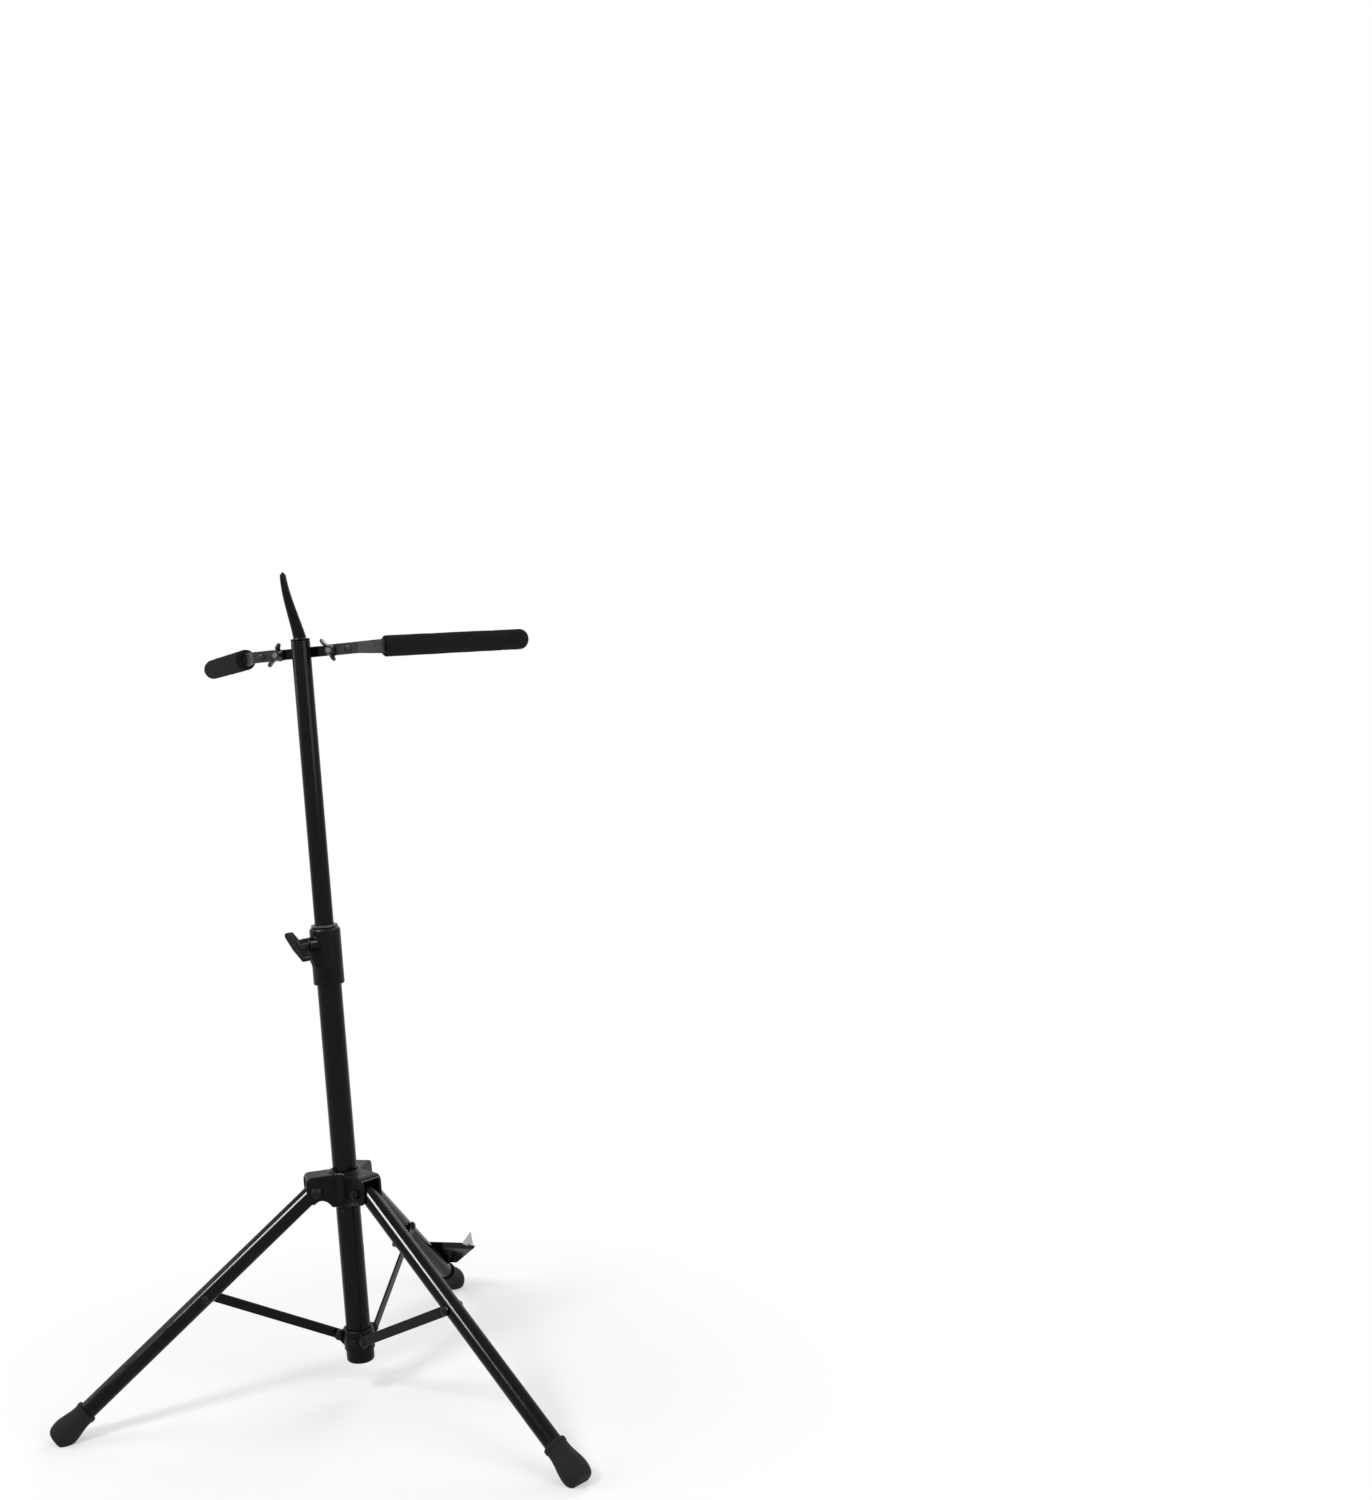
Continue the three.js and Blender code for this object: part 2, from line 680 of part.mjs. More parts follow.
function flangePlan() {
  const shape = new THREE.Shape();
  const reach = trayBendRadius + trayFlangeLength * Math.cos(trayFlangeLift * degree);
  const half = trayFlangeHalfWidth;
  const corner = trayFlangeCorner;
  shape.moveTo(trayBendRadius, -trayRearHalfWidth);
  shape.lineTo(0, -trayRearHalfWidth);
  shape.lineTo(-traySheet, -half);
  shape.absarc(-reach + corner, -half + corner, corner, -Math.PI / 2, -Math.PI, true);
  shape.absarc(-reach + corner, half - corner, corner, Math.PI, Math.PI / 2, true);
  shape.lineTo(-traySheet, half);
  shape.lineTo(0, trayRearHalfWidth);
  shape.lineTo(trayBendRadius, trayRearHalfWidth);
  return shape;
}

function buildTray(leg) {
  const floor = legRadius + touchGap;
  const rim = [trayRearWallHeight, trayFrontWallHeight];
  const outer = joined(lofted(panCorners(0, floor, [[0, 0], rim], 0)));
  const aboveRim = rim.map((height) => height + cutOverrun);
  const hollow = lofted(panCorners(traySheet, floor, [[traySheet, traySheet], aboveRim], cutOverrun));
  const section = uprightPlate(flangeSection(), -trayFlangeHalfWidth, trayFlangeHalfWidth);
  const flange = solidOf(section).intersect(solidOf(flatPlate(flangePlan(), -trayLength, trayLength)))
    .translate(trayRear, 0, floor);
  const holes = trayScrewPlaces.map((place) => {
    const hole = bar(trayScrewRadius + touchGap, floor - cutOverrun, floor + traySheet + cutOverrun,
      smallSides);
    hole.translate(trayRear + place, 0, 0);
    return hole;
  });
  const pan = cutBy(cutBy(outer, hollow).add(flange).add(solidOf(trayEar(floor))), ...holes);
  addPiece(leg, 'endpin_tray', glossBlackPaint, pan);

  trayScrewPlaces.forEach((place, index) => {
    const screw = headedPin(trayScrewRadius, legRadius - trayScrewReach, floor + traySheet + touchGap,
      trayScrewHeadRadius, trayScrewHeadHeight);
    screw.translate(trayRear + place, 0, 0);
    addPiece(leg, `tray_screw_${index + 1}`, blackenedSteel, joined(screw));
  });

  const seat = floor + traySheet + touchGap;
  const cup = turned([
    [0, seat], [cupRadius - cupWall, seat], [cupRadius, seat + cupWall], [cupRadius, seat + cupHeight],
    [cupRadius - cupWall, seat + cupHeight], [cupRadius - cupWall - cupWall, seat + cupWall], [0, seat + cupWall],
  ]);
  cup.translate(trayRear + cupPlace, 0, 0);
  addPiece(leg, 'endpin_cup', brownedBrass, joined(cup));
}

// Height clamp: collar on the lower tube, nylon liner, shoe, screw and T knob
function buildClamp() {
  const collarBottom = lowerTubeTop - collarBelowTubeTop;
  const collarTop = lowerTubeTop + collarAboveTubeTop;
  const collarRadius = lowerTubeRadius + touchGap + collarWall;
  const linerRadius = upperTubeRadius + touchGap + linerWall;
  const clampHeight = lowerTubeTop + clampAboveTubeTop;
  const profile = [[0, collarBottom], [collarRadius, collarBottom]];
  for (let step = 0; step <= arcSteps; step += 1) {
    const turn = step / arcSteps * Math.PI / 2;
    profile.push([
      collarRadius - collarRounding + collarRounding * Math.cos(turn),
      collarTop - collarRounding + collarRounding * Math.sin(turn),
    ]);
  }
  profile.push([0, collarTop]);
  const gusset = new THREE.Shape();
  gusset.moveTo(lowerTubeRadius, clampHeight);
  gusset.lineTo(bossReach, clampHeight);
  gusset.lineTo(bossReach, clampHeight - bossRadius + cutOverrun);
  gusset.lineTo(collarRadius, clampHeight - bossRadius - gussetDrop);
  gusset.lineTo(lowerTubeRadius, clampHeight - bossRadius - gussetDrop);
  const boss = toX(bar(bossRadius, lowerTubeRadius, bossReach, tubeSides));
  boss.translate(0, 0, clampHeight);
  const web = uprightPlate(gusset, -gussetWidth / 2, gussetWidth / 2);
  const shoeInner = upperTubeRadius + touchGap;
  const shoeOuter = shoeInner + shoeLength;
  const chamber = toX(bar(shoeRadius + touchGap, 0, shoeOuter + cutOverrun, smallSides));
  chamber.translate(0, 0, clampHeight);
  const thread = toX(bar(clampScrewRadius + touchGap, 0, bossReach + cutOverrun, smallSides));
  thread.translate(0, 0, clampHeight);
  const lowerBore = bar(lowerTubeRadius + touchGap, collarBottom - cutOverrun, lowerTubeTop + touchGap);
  const upperBore = bar(linerRadius + touchGap, lowerTubeTop, collarTop + cutOverrun);
  const turnedPieces = [boss, web, chamber, thread];
  turnedPieces.forEach((geometry) => geometry.rotateZ(clampAngle * degree));
  const collar = cutBy(joined(turned(profile), boss, web), chamber, thread, lowerBore, upperBore);
  addPiece(standing, 'clamp_collar', mattBlackPlastic, collar);

  const linerBottom = lowerTubeTop + touchGap + touchGap;
  const flangeBottom = collarTop + touchGap;
  const liner = turned([
    [upperTubeRadius + touchGap, linerBottom], [linerRadius, linerBottom], [linerRadius, flangeBottom],
    [linerRadius + linerFlangeOverlap, flangeBottom],
    [linerRadius + linerFlangeOverlap, flangeBottom + linerFlange],
    [upperTubeRadius + touchGap, flangeBottom + linerFlange],
  ]);
  const window = toX(bar(shoeRadius + touchGap, 0, collarRadius, smallSides));
  window.translate(0, 0, clampHeight);
  window.rotateZ(clampAngle * degree);
  addPiece(standing, 'tube_liner', clearedNylon, cutBy(joined(liner), window));

  const axis = new THREE.Group();
  axis.rotation.z = clampAngle * degree;
  axis.position.z = clampHeight;
  standing.add(axis);
  addPiece(axis, 'clamp_shoe', clearedNylon, joined(toX(bar(shoeRadius, shoeInner, shoeOuter, smallSides))));
  const knobFace = bossReach + knobStandOff;
  const screwEnd = knobFace + knobSocketDepth;
  addPiece(axis, 'clamp_screw', zincSteel,
    joined(toX(bar(clampScrewRadius, shoeOuter + touchGap, screwEnd, smallSides))));
  addPiece(axis, 'clamp_knob', mattBlackPlastic, clampKnob(knobFace, screwEnd));
}

function clampKnob(face, screwEnd) {
  const grip = new THREE.Shape();
  const half = knobBarLength / 2;
  const tip = knobBarTipWidth / 2;
  const waist = knobBarWidth / 2;
  grip.moveTo(0, waist);
  grip.lineTo(half - tip, tip);
  grip.absarc(half - tip, 0, tip, Math.PI / 2, -Math.PI / 2, true);
  grip.lineTo(0, -waist);
  grip.lineTo(-half + tip, -tip);
  grip.absarc(-half + tip, 0, tip, -Math.PI / 2, -Math.PI * 3 / 2, true);
  const gripFrom = face + knobHubDepth - touchGap;
  const barPiece = flatPlate(grip, gripFrom, gripFrom + knobBarDepth);
  barPiece.rotateZ(knobTilt * degree);
  const hubPiece = bar(knobHubRadius, face, gripFrom + knobBarDepth / 2, tubeSides);
  const socket = bar(clampScrewRadius + touchGap, face - cutOverrun, screwEnd + touchGap, smallSides);
  const shape = [barPiece, hubPiece, socket];
  shape.forEach((geometry) => {
    geometry.rotateZ(Math.PI / 2);
    toX(geometry);
  });
  return cutBy(joined(barPiece, hubPiece), socket);
}

// Guide bush: it runs in the lower tube and carries the foot of the upper tube
function buildUpperMast() {
  const bushRadius = lowerTubeBore - touchGap;
  const lipTop = upperTubeBottom - touchGap;
  const lipBottom = lipTop - guideBushLip;
  addPiece(standing, 'guide_bush', clearedNylon, joined(turned([
    [upperTubeBore, lipBottom], [bushRadius, lipBottom], [bushRadius, lipTop + guideBushHeight],
    [upperTubeRadius + touchGap, lipTop + guideBushHeight], [upperTubeRadius + touchGap, lipTop],
    [upperTubeBore, lipTop],
  ])));
  addPiece(standing, 'upper_tube', glossBlackPaint,
    joined(ring(upperTubeRadius, upperTubeBore, upperTubeBottom, mastRimHeight)));
  buildBowHolder();
  buildCrossBar();
}

// Bow holder: a plug with a horn that leans back and tapers to a round tip
function buildBowHolder() {
  const flangeBottom = mastRimHeight + touchGap;
  const flangeTop = flangeBottom + holderFlange;
  const plug = turned([
    [0, flangeBottom - holderPlugDepth], [upperTubeBore - holderPlugRelief, flangeBottom - holderPlugDepth],
    [upperTubeBore - holderPlugRelief, flangeBottom], [upperTubeRadius, flangeBottom],
    [upperTubeRadius, flangeTop], [0, flangeTop],
  ]);
  const rings = [];
  const levels = arcSteps * 3;
  for (let level = 0; level <= levels; level += 1) {
    const share = level / levels;
    const fromTip = (1 - share) * hornHeight;
    const round = fromTip < hornTipRounding ? Math.sqrt(1 - (1 - fromTip / hornTipRounding) ** 2) : 1;
    const radius = THREE.MathUtils.lerp(hornBaseRadius, hornTipRadius, share) * Math.max(round, mergeShare);
    const lean = hornLean * (1 - (1 - share) ** 2) * share + hornLean * share * (1 - share);
    rings.push(hornRing(radius, lean, flangeTop - touchGap + share * hornHeight));
  }
  addPiece(standing, 'bow_holder', mattBlackPlastic, joined(plug, lofted(rings)));
}

function hornRing(radius, lean, height) {
  const points = [];
  for (let i = 0; i < smallSides; i += 1) {
    const turn = i / smallSides * Math.PI * 2;
    points.push([radius * hornFlatShare * Math.cos(turn), lean + radius * Math.sin(turn), height]);
  }
  return points;
}

// Cross bar: a flat bar with round ends, square holes for the wing bolts and round ones for the pivots
function buildCrossBar() {
  const round = crossBarHeight / 2;
  const shape = new THREE.Shape();
  shape.absarc(armPivotReach, 0, round, -Math.PI / 2, Math.PI / 2, false);
  shape.absarc(-armPivotReach, 0, round, Math.PI / 2, Math.PI * 3 / 2, false);
  const neck = wingBoltRadius + touchGap;
  const deep = crossBarFront - cutOverrun;
  const holes = [];
  for (const side of [-1, 1]) {
    const pivotHole = toY(bar(rivetRadius + touchGap, deep, 0, smallSides));
    pivotHole.translate(side * armPivotReach, 0, 0);
    const squareHole = block(-neck, neck, deep, 0, -neck, neck);
    squareHole.translate(side * wingBoltReach, 0, 0);
    holes.push(pivotHole, squareHole);
  }
  const plate = cutBy(joined(uprightPlate(shape, crossBarFront, crossBarRear)), ...holes);
  addPiece(standing, 'cross_bar', glossBlackPaint, plate.translate(0, 0, crossBarHeightOverFloor));
  buildArm('right', 1);
  buildArm('left', -1);
}

// Strap: bent in plan, flared in elevation, with a fork at its inner end that is open below
function strapPlan() {
  const spread = armSpread * degree;
  const ahead = new THREE.Vector2(Math.cos(spread), -Math.sin(spread));
  const inward = new THREE.Vector2(-Math.sin(spread), -Math.cos(spread));
  const half = strapThickness / 2;
  const middle = (strapFront + strapRear) / 2;
  const bend = new THREE.Vector2(strapBendReach, middle);
  const tangent = (strapBendRadius + half) * Math.tan(spread / 2);
  const centre = new THREE.Vector2(strapBendReach - tangent, middle - strapBendRadius - half);
  const tip = bend.clone().addScaledVector(ahead, strapForwardLength);
  const shape = new THREE.Shape();
  const outerTip = tip.clone().addScaledVector(inward, -half);
  const innerTip = tip.clone().addScaledVector(inward, half);
  shape.moveTo(wingBoltReach - strapHeight, strapRear);
  shape.absarc(centre.x, centre.y, strapBendRadius + strapThickness, Math.PI / 2, Math.PI / 2 - spread, true);
  shape.lineTo(outerTip.x, outerTip.y);
  shape.lineTo(innerTip.x, innerTip.y);
  shape.absarc(centre.x, centre.y, strapBendRadius, Math.PI / 2 - spread, Math.PI / 2, false);
  shape.lineTo(wingBoltReach - strapHeight, strapFront);
  return { shape, tip, ahead };
}

function strapElevation(tipReach) {
  const half = strapHeight / 2;
  const endHalf = strapEndHeight / 2;
  const shape = new THREE.Shape();
  shape.absarc(wingBoltReach, 0, half, Math.PI / 2, Math.PI * 3 / 2, false);
  shape.lineTo(strapBendReach, -half);
  shape.lineTo(tipReach + cutOverrun, -endHalf);
  shape.lineTo(tipReach + cutOverrun, endHalf);
  shape.lineTo(strapBendReach, half);
  return shape;
}

function forkSlot() {
  const swing = armPivotReach - wingBoltReach;
  const half = wingBoltRadius + touchGap;
  const drop = Math.asin(strapHeight / swing);
  const shape = new THREE.Shape();
  shape.absarc(armPivotReach, 0, swing + half, Math.PI, Math.PI + drop, false);
  shape.absarc(armPivotReach, 0, swing - half, Math.PI + drop, Math.PI, true);
  shape.absarc(wingBoltReach, 0, half, 0, Math.PI, false);
  return shape;
}

function buildArm(name, side) {
  const mount = new THREE.Group();
  mount.position.z = crossBarHeightOverFloor;
  standing.add(mount);
  const mirror = (solid) => (side > 0 ? solid : solid.mirror([1, 0, 0]));
  const { shape, tip, ahead } = strapPlan();
  const high = strapEndHeight;
  const plan = solidOf(flatPlate(shape, -high, high));
  const reachAhead = strapForwardLength + foamRadius;
  const elevation = solidOf(uprightPlate(strapElevation(tip.x), strapFront - reachAhead, strapRear + cutOverrun));
  const slot = uprightPlate(forkSlot(), strapFront - cutOverrun, strapRear + cutOverrun);
  const pivotHole = toY(bar(rivetRadius + touchGap, strapFront - cutOverrun, strapRear + cutOverrun, smallSides));
  pivotHole.translate(armPivotReach, 0, 0);
  const strap = cutBy(plan.intersect(elevation), slot, pivotHole);
  addPiece(mount, `arm_strap_${name}`, greyedSteel, mirror(strap));

  const rivet = pinThrough(rivetRadius, crossBarFront - touchGap, strapRear + touchGap,
    rivetHeadRadius, rivetHeadHeight);
  addPiece(mount, `arm_rivet_${name}`, greyedSteel, mirror(rivet.translate(armPivotReach, 0, 0)));

  const neck = wingBoltRadius;
  const tail = strapRear + touchGap + wingNutHeight + wingBoltTail;
  const head = toMinusY(headedPin(wingBoltRadius, -tail, -crossBarFront + touchGap,
    wingBoltHeadRadius, wingBoltHeadHeight));
  const square = block(-neck, neck, crossBarFront - touchGap, crossBarRear, -neck, neck);
  addPiece(mount, `wing_bolt_${name}`, zincSteel,
    mirror(joined(head, square).translate(wingBoltReach, 0, 0)));
  addPiece(mount, `wing_nut_${name}`, greyedSteel,
    mirror(wingNut().translate(wingBoltReach, strapRear + touchGap, 0)));

  const rod = toX(bar(armRodRadius, 0, armRodLength, smallSides));
  const foam = cutBy(joined(toX(turned(foamProfile()))),
    toX(bar(armRodRadius + touchGap, -cutOverrun, armRodLength + touchGap, smallSides)));
  const seat = tip.clone().addScaledVector(ahead, touchGap);
  const turn = -armSpread;
  addPiece(mount, `arm_rod_${name}`, greyedSteel,
    mirror(joined(rod).rotate([0, 0, turn]).translate(seat.x, seat.y, 0)));
  addPiece(mount, `foam_sleeve_${name}`, blackFoam,
    mirror(foam.rotate([0, 0, turn]).translate(seat.x, seat.y, 0)));
}

// A pin along Y with a dome head at each end
function pinThrough(radius, frontSeat, rearSeat, headRadius, headHeight) {
  const rear = toY(headedPin(radius, frontSeat, rearSeat, headRadius, headHeight));
  const front = toMinusY(headedPin(radius, -rearSeat, -frontSeat, headRadius, headHeight));
  return joined(rear, front);
}

function foamProfile() {
  const profile = [];
  for (const [end, sign, rounding] of [[0, -1, foamMouthRounding], [foamLength, 1, foamTipRounding]]) {
    const corner = [];
    for (let step = 0; step <= arcSteps; step += 1) {
      const turn = step / arcSteps * Math.PI / 2;
      corner.push([
        foamRadius - rounding + rounding * Math.cos(turn),
        end - sign * rounding + sign * rounding * Math.sin(turn),
      ]);
    }
    if (sign < 0) corner.reverse();
    profile.push(...corner);
  }
  profile.push([0, foamLength]);
  profile.unshift([0, 0]);
  return profile;
}

// Wing nut: a tapered hub with two wings swept up from its foot
function wingNut() {
  const hub = toY(turned([
    [0, 0], [wingNutHubRadius, 0], [wingNutTopRadius, wingNutHeight], [0, wingNutHeight],
  ], tubeSides));
  const wing = new THREE.Shape();
  const tipCentre = wingSpan / 2 - wingTipRadius;
  wing.moveTo(0, 0);
  wing.lineTo(wingNutHubRadius, 0);
  wing.lineTo(tipCentre, wingLift - wingTipRadius);
  wing.absarc(tipCentre, wingLift, wingTipRadius, -Math.PI / 2, Math.PI * 3 / 4, false);
  wing.lineTo(wingNutTopRadius, wingRootHeight);
  wing.lineTo(0, wingRootHeight);
  const half = wingThickness / 2;
  const wings = [1, -1].map((side) => {
    const plate = flatPlate(wing, -half, half);
    if (side < 0) plate.rotateY(Math.PI);
    return plate;
  });
  const bore = toY(bar(wingBoltRadius + touchGap, -cutOverrun, wingNutHeight + cutOverrun, smallSides));
  return cutBy(joined(hub, ...wings), bore).rotate([0, wingTilt, 0]);
}

buildLowerMast();
buildLowerHub();
buildHub();
buildTripod();
buildClamp();
buildUpperMast();

// The origin is the middle of the footprint, on the floor
const bounds = new THREE.Box3().setFromObject(standing, true);
const centre = bounds.getCenter(new THREE.Vector3());
standing.position.set(-centre.x, -centre.y, -bounds.min.z);

export default stand;
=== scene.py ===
import math

import bmesh
import bpy
from mathutils import Matrix, Vector, noise


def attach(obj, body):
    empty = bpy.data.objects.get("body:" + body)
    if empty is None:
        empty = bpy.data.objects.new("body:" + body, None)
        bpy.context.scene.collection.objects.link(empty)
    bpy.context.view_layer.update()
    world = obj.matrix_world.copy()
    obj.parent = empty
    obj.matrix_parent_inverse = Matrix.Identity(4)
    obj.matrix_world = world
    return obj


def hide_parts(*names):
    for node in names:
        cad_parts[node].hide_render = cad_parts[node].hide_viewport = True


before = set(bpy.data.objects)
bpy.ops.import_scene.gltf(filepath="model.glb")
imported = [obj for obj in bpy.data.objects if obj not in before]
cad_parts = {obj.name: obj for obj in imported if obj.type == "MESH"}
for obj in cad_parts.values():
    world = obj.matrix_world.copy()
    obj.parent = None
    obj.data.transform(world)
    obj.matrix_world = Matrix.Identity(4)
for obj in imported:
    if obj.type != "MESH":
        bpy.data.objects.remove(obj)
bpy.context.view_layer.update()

# Camera: it looks at the stand's back from under two metres away, at the height of the
# upper tube, and it is tilted a little to one side. The stand is left of its middle.
PHOTO_WIDTH = 1372
PHOTO_HEIGHT = 1500
STAND_MIDDLE = 430
FOCAL_LENGTH = 1584.8
SENSOR = 36
CAMERA_TURN = math.radians(203.209)
CAMERA_DISTANCE = 1.8051
CAMERA_HEIGHT = 0.7582
CAMERA_ASIDE = math.radians(-4.332)
CAMERA_PITCH = math.radians(1.002)
CAMERA_ROLL = math.radians(-4.756)
MAST_PLACE = Vector((0, 0.0834304, 0))
camera_data = bpy.data.cameras.new("camera")
camera_data.sensor_width = SENSOR
camera_data.lens = FOCAL_LENGTH / PHOTO_HEIGHT * SENSOR
camera_data.shift_x = (PHOTO_WIDTH / 2 - STAND_MIDDLE) / PHOTO_HEIGHT
camera = bpy.data.objects.new("camera", camera_data)
bpy.context.scene.collection.objects.link(camera)
camera_place = MAST_PLACE + Vector((
    CAMERA_DISTANCE * math.sin(CAMERA_TURN), -CAMERA_DISTANCE * math.cos(CAMERA_TURN),
    CAMERA_HEIGHT))
camera.matrix_world = (
    Matrix.Translation(camera_place)
    @ Matrix.Rotation(CAMERA_TURN + CAMERA_ASIDE, 4, "Z")
    @ Matrix.Rotation(math.pi / 2 - CAMERA_PITCH, 4, "X")
    @ Matrix.Rotation(CAMERA_ROLL, 4, "Z"))
bpy.context.scene.camera = camera
bpy.context.scene.view_settings.view_transform = "Standard"


# Room: a white sweep of studio floor that keeps soft shadows near the stand and goes over
# into a white background further out.
def to_linear(hex_colour):
    """Linear red, green, blue and alpha of an sRGB hex colour."""
    parts = [int(hex_colour[i:i + 2], 16) / 255 for i in (1, 3, 5)]
    return [part / 12.92 if part <= 0.04045 else ((part + 0.055) / 1.055) ** 2.4
            for part in parts] + [1]


def add_node(tree, kind, settings=None, links=None):
    """A node of one kind: settings fill its fields and sockets, links join its sockets."""
    node = tree.nodes.new(kind)
    for name, value in (settings or {}).items():
        if isinstance(name, int) or name in node.inputs:
            node.inputs[name].default_value = value
        else:
            setattr(node, name, value)
    for name, output in (links or {}).items():
        tree.links.new(output, node.inputs[name])
    return node


def background_share(tree):
    """1 for a ray from the camera, off gloss or through glass, and 0 for any other."""
    paths = add_node(tree, "ShaderNodeLightPath")
    mirrored_too = add_node(tree, "ShaderNodeMath", {"operation": "MAXIMUM"}, {
        0: paths.outputs["Is Camera Ray"], 1: paths.outputs["Is Glossy Ray"]})
    return add_node(tree, "ShaderNodeMath", {"operation": "MAXIMUM"}, {
        0: mirrored_too.outputs[0], 1: paths.outputs["Is Transmission Ray"]}).outputs[0]


FLOOR_RADIUS = 14
FLOOR_SIDES = 96
SHADOW_RADIUS = 0.26
FADE_RADIUS = 0.6
LEAST_FADE = 0.3
floor_shape = bmesh.new()
bmesh.ops.create_circle(floor_shape, cap_ends=True, segments=FLOOR_SIDES, radius=FLOOR_RADIUS)
floor_mesh = bpy.data.meshes.new("floor")
floor_shape.to_mesh(floor_mesh)
floor_shape.free()
floor = bpy.data.objects.new("floor", floor_mesh)
bpy.context.scene.collection.objects.link(floor)
floor_finish = bpy.data.materials.new("white_sweep_floor")
floor_finish.use_nodes = True
tree = floor_finish.node_tree
tree.nodes.clear()
place = add_node(tree, "ShaderNodeTexCoord")
distance = add_node(tree, "ShaderNodeVectorMath", {"operation": "DISTANCE", 1: MAST_PLACE}, {
    0: place.outputs["Object"]})
fade = add_node(tree, "ShaderNodeMapRange", {
    "interpolation_type": "SMOOTHSTEP", "From Min": SHADOW_RADIUS, "From Max": FADE_RADIUS,
    "To Min": LEAST_FADE}, {"Value": distance.outputs["Value"]})
matt = add_node(tree, "ShaderNodeBsdfDiffuse", {"Color": to_linear("#fafafa")})
glow = add_node(tree, "ShaderNodeEmission", {"Color": to_linear("#ffffff")})
seen = add_node(tree, "ShaderNodeMath", {"operation": "MULTIPLY"}, {
    0: fade.outputs["Result"], 1: background_share(tree)})
mixed = add_node(tree, "ShaderNodeMixShader", None, {
    0: seen.outputs[0], 1: matt.outputs[0], 2: glow.outputs[0]})
add_node(tree, "ShaderNodeOutputMaterial", None, {"Surface": mixed.outputs[0]})
floor.data.materials.append(floor_finish)

# The world is white to the camera and in reflections, and a dimmer white as light, so that
# the background stays clean while the stand keeps its shading.
AMBIENT = 0.42
world = bpy.data.worlds.new("studio")
world.use_nodes = True
bpy.context.scene.world = world
tree = world.node_tree
tree.nodes.clear()
brightness = add_node(tree, "ShaderNodeMapRange", {"To Min": AMBIENT, "To Max": 1}, {
    "Value": background_share(tree)})
light = add_node(tree, "ShaderNodeBackground", {"Color": to_linear("#ffffff")}, {
    "Strength": brightness.outputs["Result"]})
add_node(tree, "ShaderNodeOutputWorld", None, {"Surface": light.outputs[0]})

# Lamps: soft boxes high behind the camera, at both sides and in front. Two round dishes
# show only as reflections in enamelled and moulded pieces: one draws the white lines along
# the legs, and the other lights the tray's turned up corner.
LAMPS = {
    "gleam_dish": {"at": (1.24, 2.09, 2.56), "size": 1.2, "watts": 300, "gloss_only": True},
    "corner_dish": {"at": (-1.91, -0.41, 1.73), "size": 0.6, "watts": 44, "gloss_only": True},
    "high_box": {"at": (0.9, 2.2, 2.6), "size": 0.7, "watts": 42},
    "right_box": {"at": (-2.4, 1.2, 1.3), "size": 1.5, "watts": 26},
    "left_box": {"at": (2.6, 0.6, 1.5), "size": 1.5, "watts": 20},
    "front_box": {"at": (-0.6, -2.4, 2.2), "size": 1.6, "watts": 24},
}
LAMP_TARGET = Vector((0, 0.08, 0.42))
GLEAMING_SLOTS = ("gloss_black_paint", "matt_black_plastic")
gleaming = bpy.data.collections.new("gleaming_pieces")
for lamp_name, lamp in LAMPS.items():
    lamp_data = bpy.data.lights.new(lamp_name, "AREA")
    lamp_data.size = lamp["size"]
    lamp_data.energy = lamp["watts"]
    lamp_object = bpy.data.objects.new(lamp_name, lamp_data)
    lamp_object.location = lamp["at"]
    if "gloss_only" in lamp:
        lamp_data.shape = "DISK"
        lamp_object.visible_diffuse = False
        lamp_object.light_linking.receiver_collection = gleaming
    aim = LAMP_TARGET - lamp_object.location
    lamp_object.rotation_euler = aim.to_track_quat("-Z", "Y").to_euler()
    bpy.context.scene.collection.objects.link(lamp_object)


# Lower tube: drawn steel tube, 28 mm across with a 1.5 mm wall, stove enamelled gloss
# black. Its cut ends are deburred before the enamel goes on.
MILLIMETRE = 0.001
MERGE_WITHIN = 0.0005
ROUND_STEPS = 96
LOWER_TUBE = {"outer": 14, "inner": 12.5, "low": 43.3, "high": 505.3}
TUBE_DEBURR = 0.35
SHARP_FROM = math.radians(35)


def turned(profile, steps=ROUND_STEPS):
    """A shape turned about Z from (radius, height) corners in millimetres, closed on itself
    or on the axis."""
    shape = bmesh.new()
    corners = [shape.verts.new((radius, 0, height)) for radius, height in profile]
    pairs = list(zip(corners, corners[1:]))
    if profile[0][0] > 0:
        pairs.append((corners[-1], corners[0]))
    edges = [shape.edges.new(pair) for pair in pairs]
    bmesh.ops.spin(
        shape, geom=corners + edges, axis=(0, 0, 1), angle=math.tau, steps=steps, use_merge=True)
    bmesh.ops.remove_doubles(shape, verts=shape.verts, dist=MERGE_WITHIN)
    bmesh.ops.recalc_face_normals(shape, faces=shape.faces)
    return shape


def tube_shape(outer, inner, low, high, steps=ROUND_STEPS):
    return turned([(inner, low), (outer, low), (outer, high), (inner, high)], steps)


def rod(radius, low, high, steps=ROUND_STEPS):
    return turned([(0, low), (radius, low), (radius, high), (0, high)], steps)


def placed(shape, *moves):
    """The shape after its moves, the last of them made first."""
    whole = Matrix.Identity(4)
    for move in moves:
        whole = whole @ move
    bmesh.ops.transform(shape, matrix=whole, verts=shape.verts)
    return shape


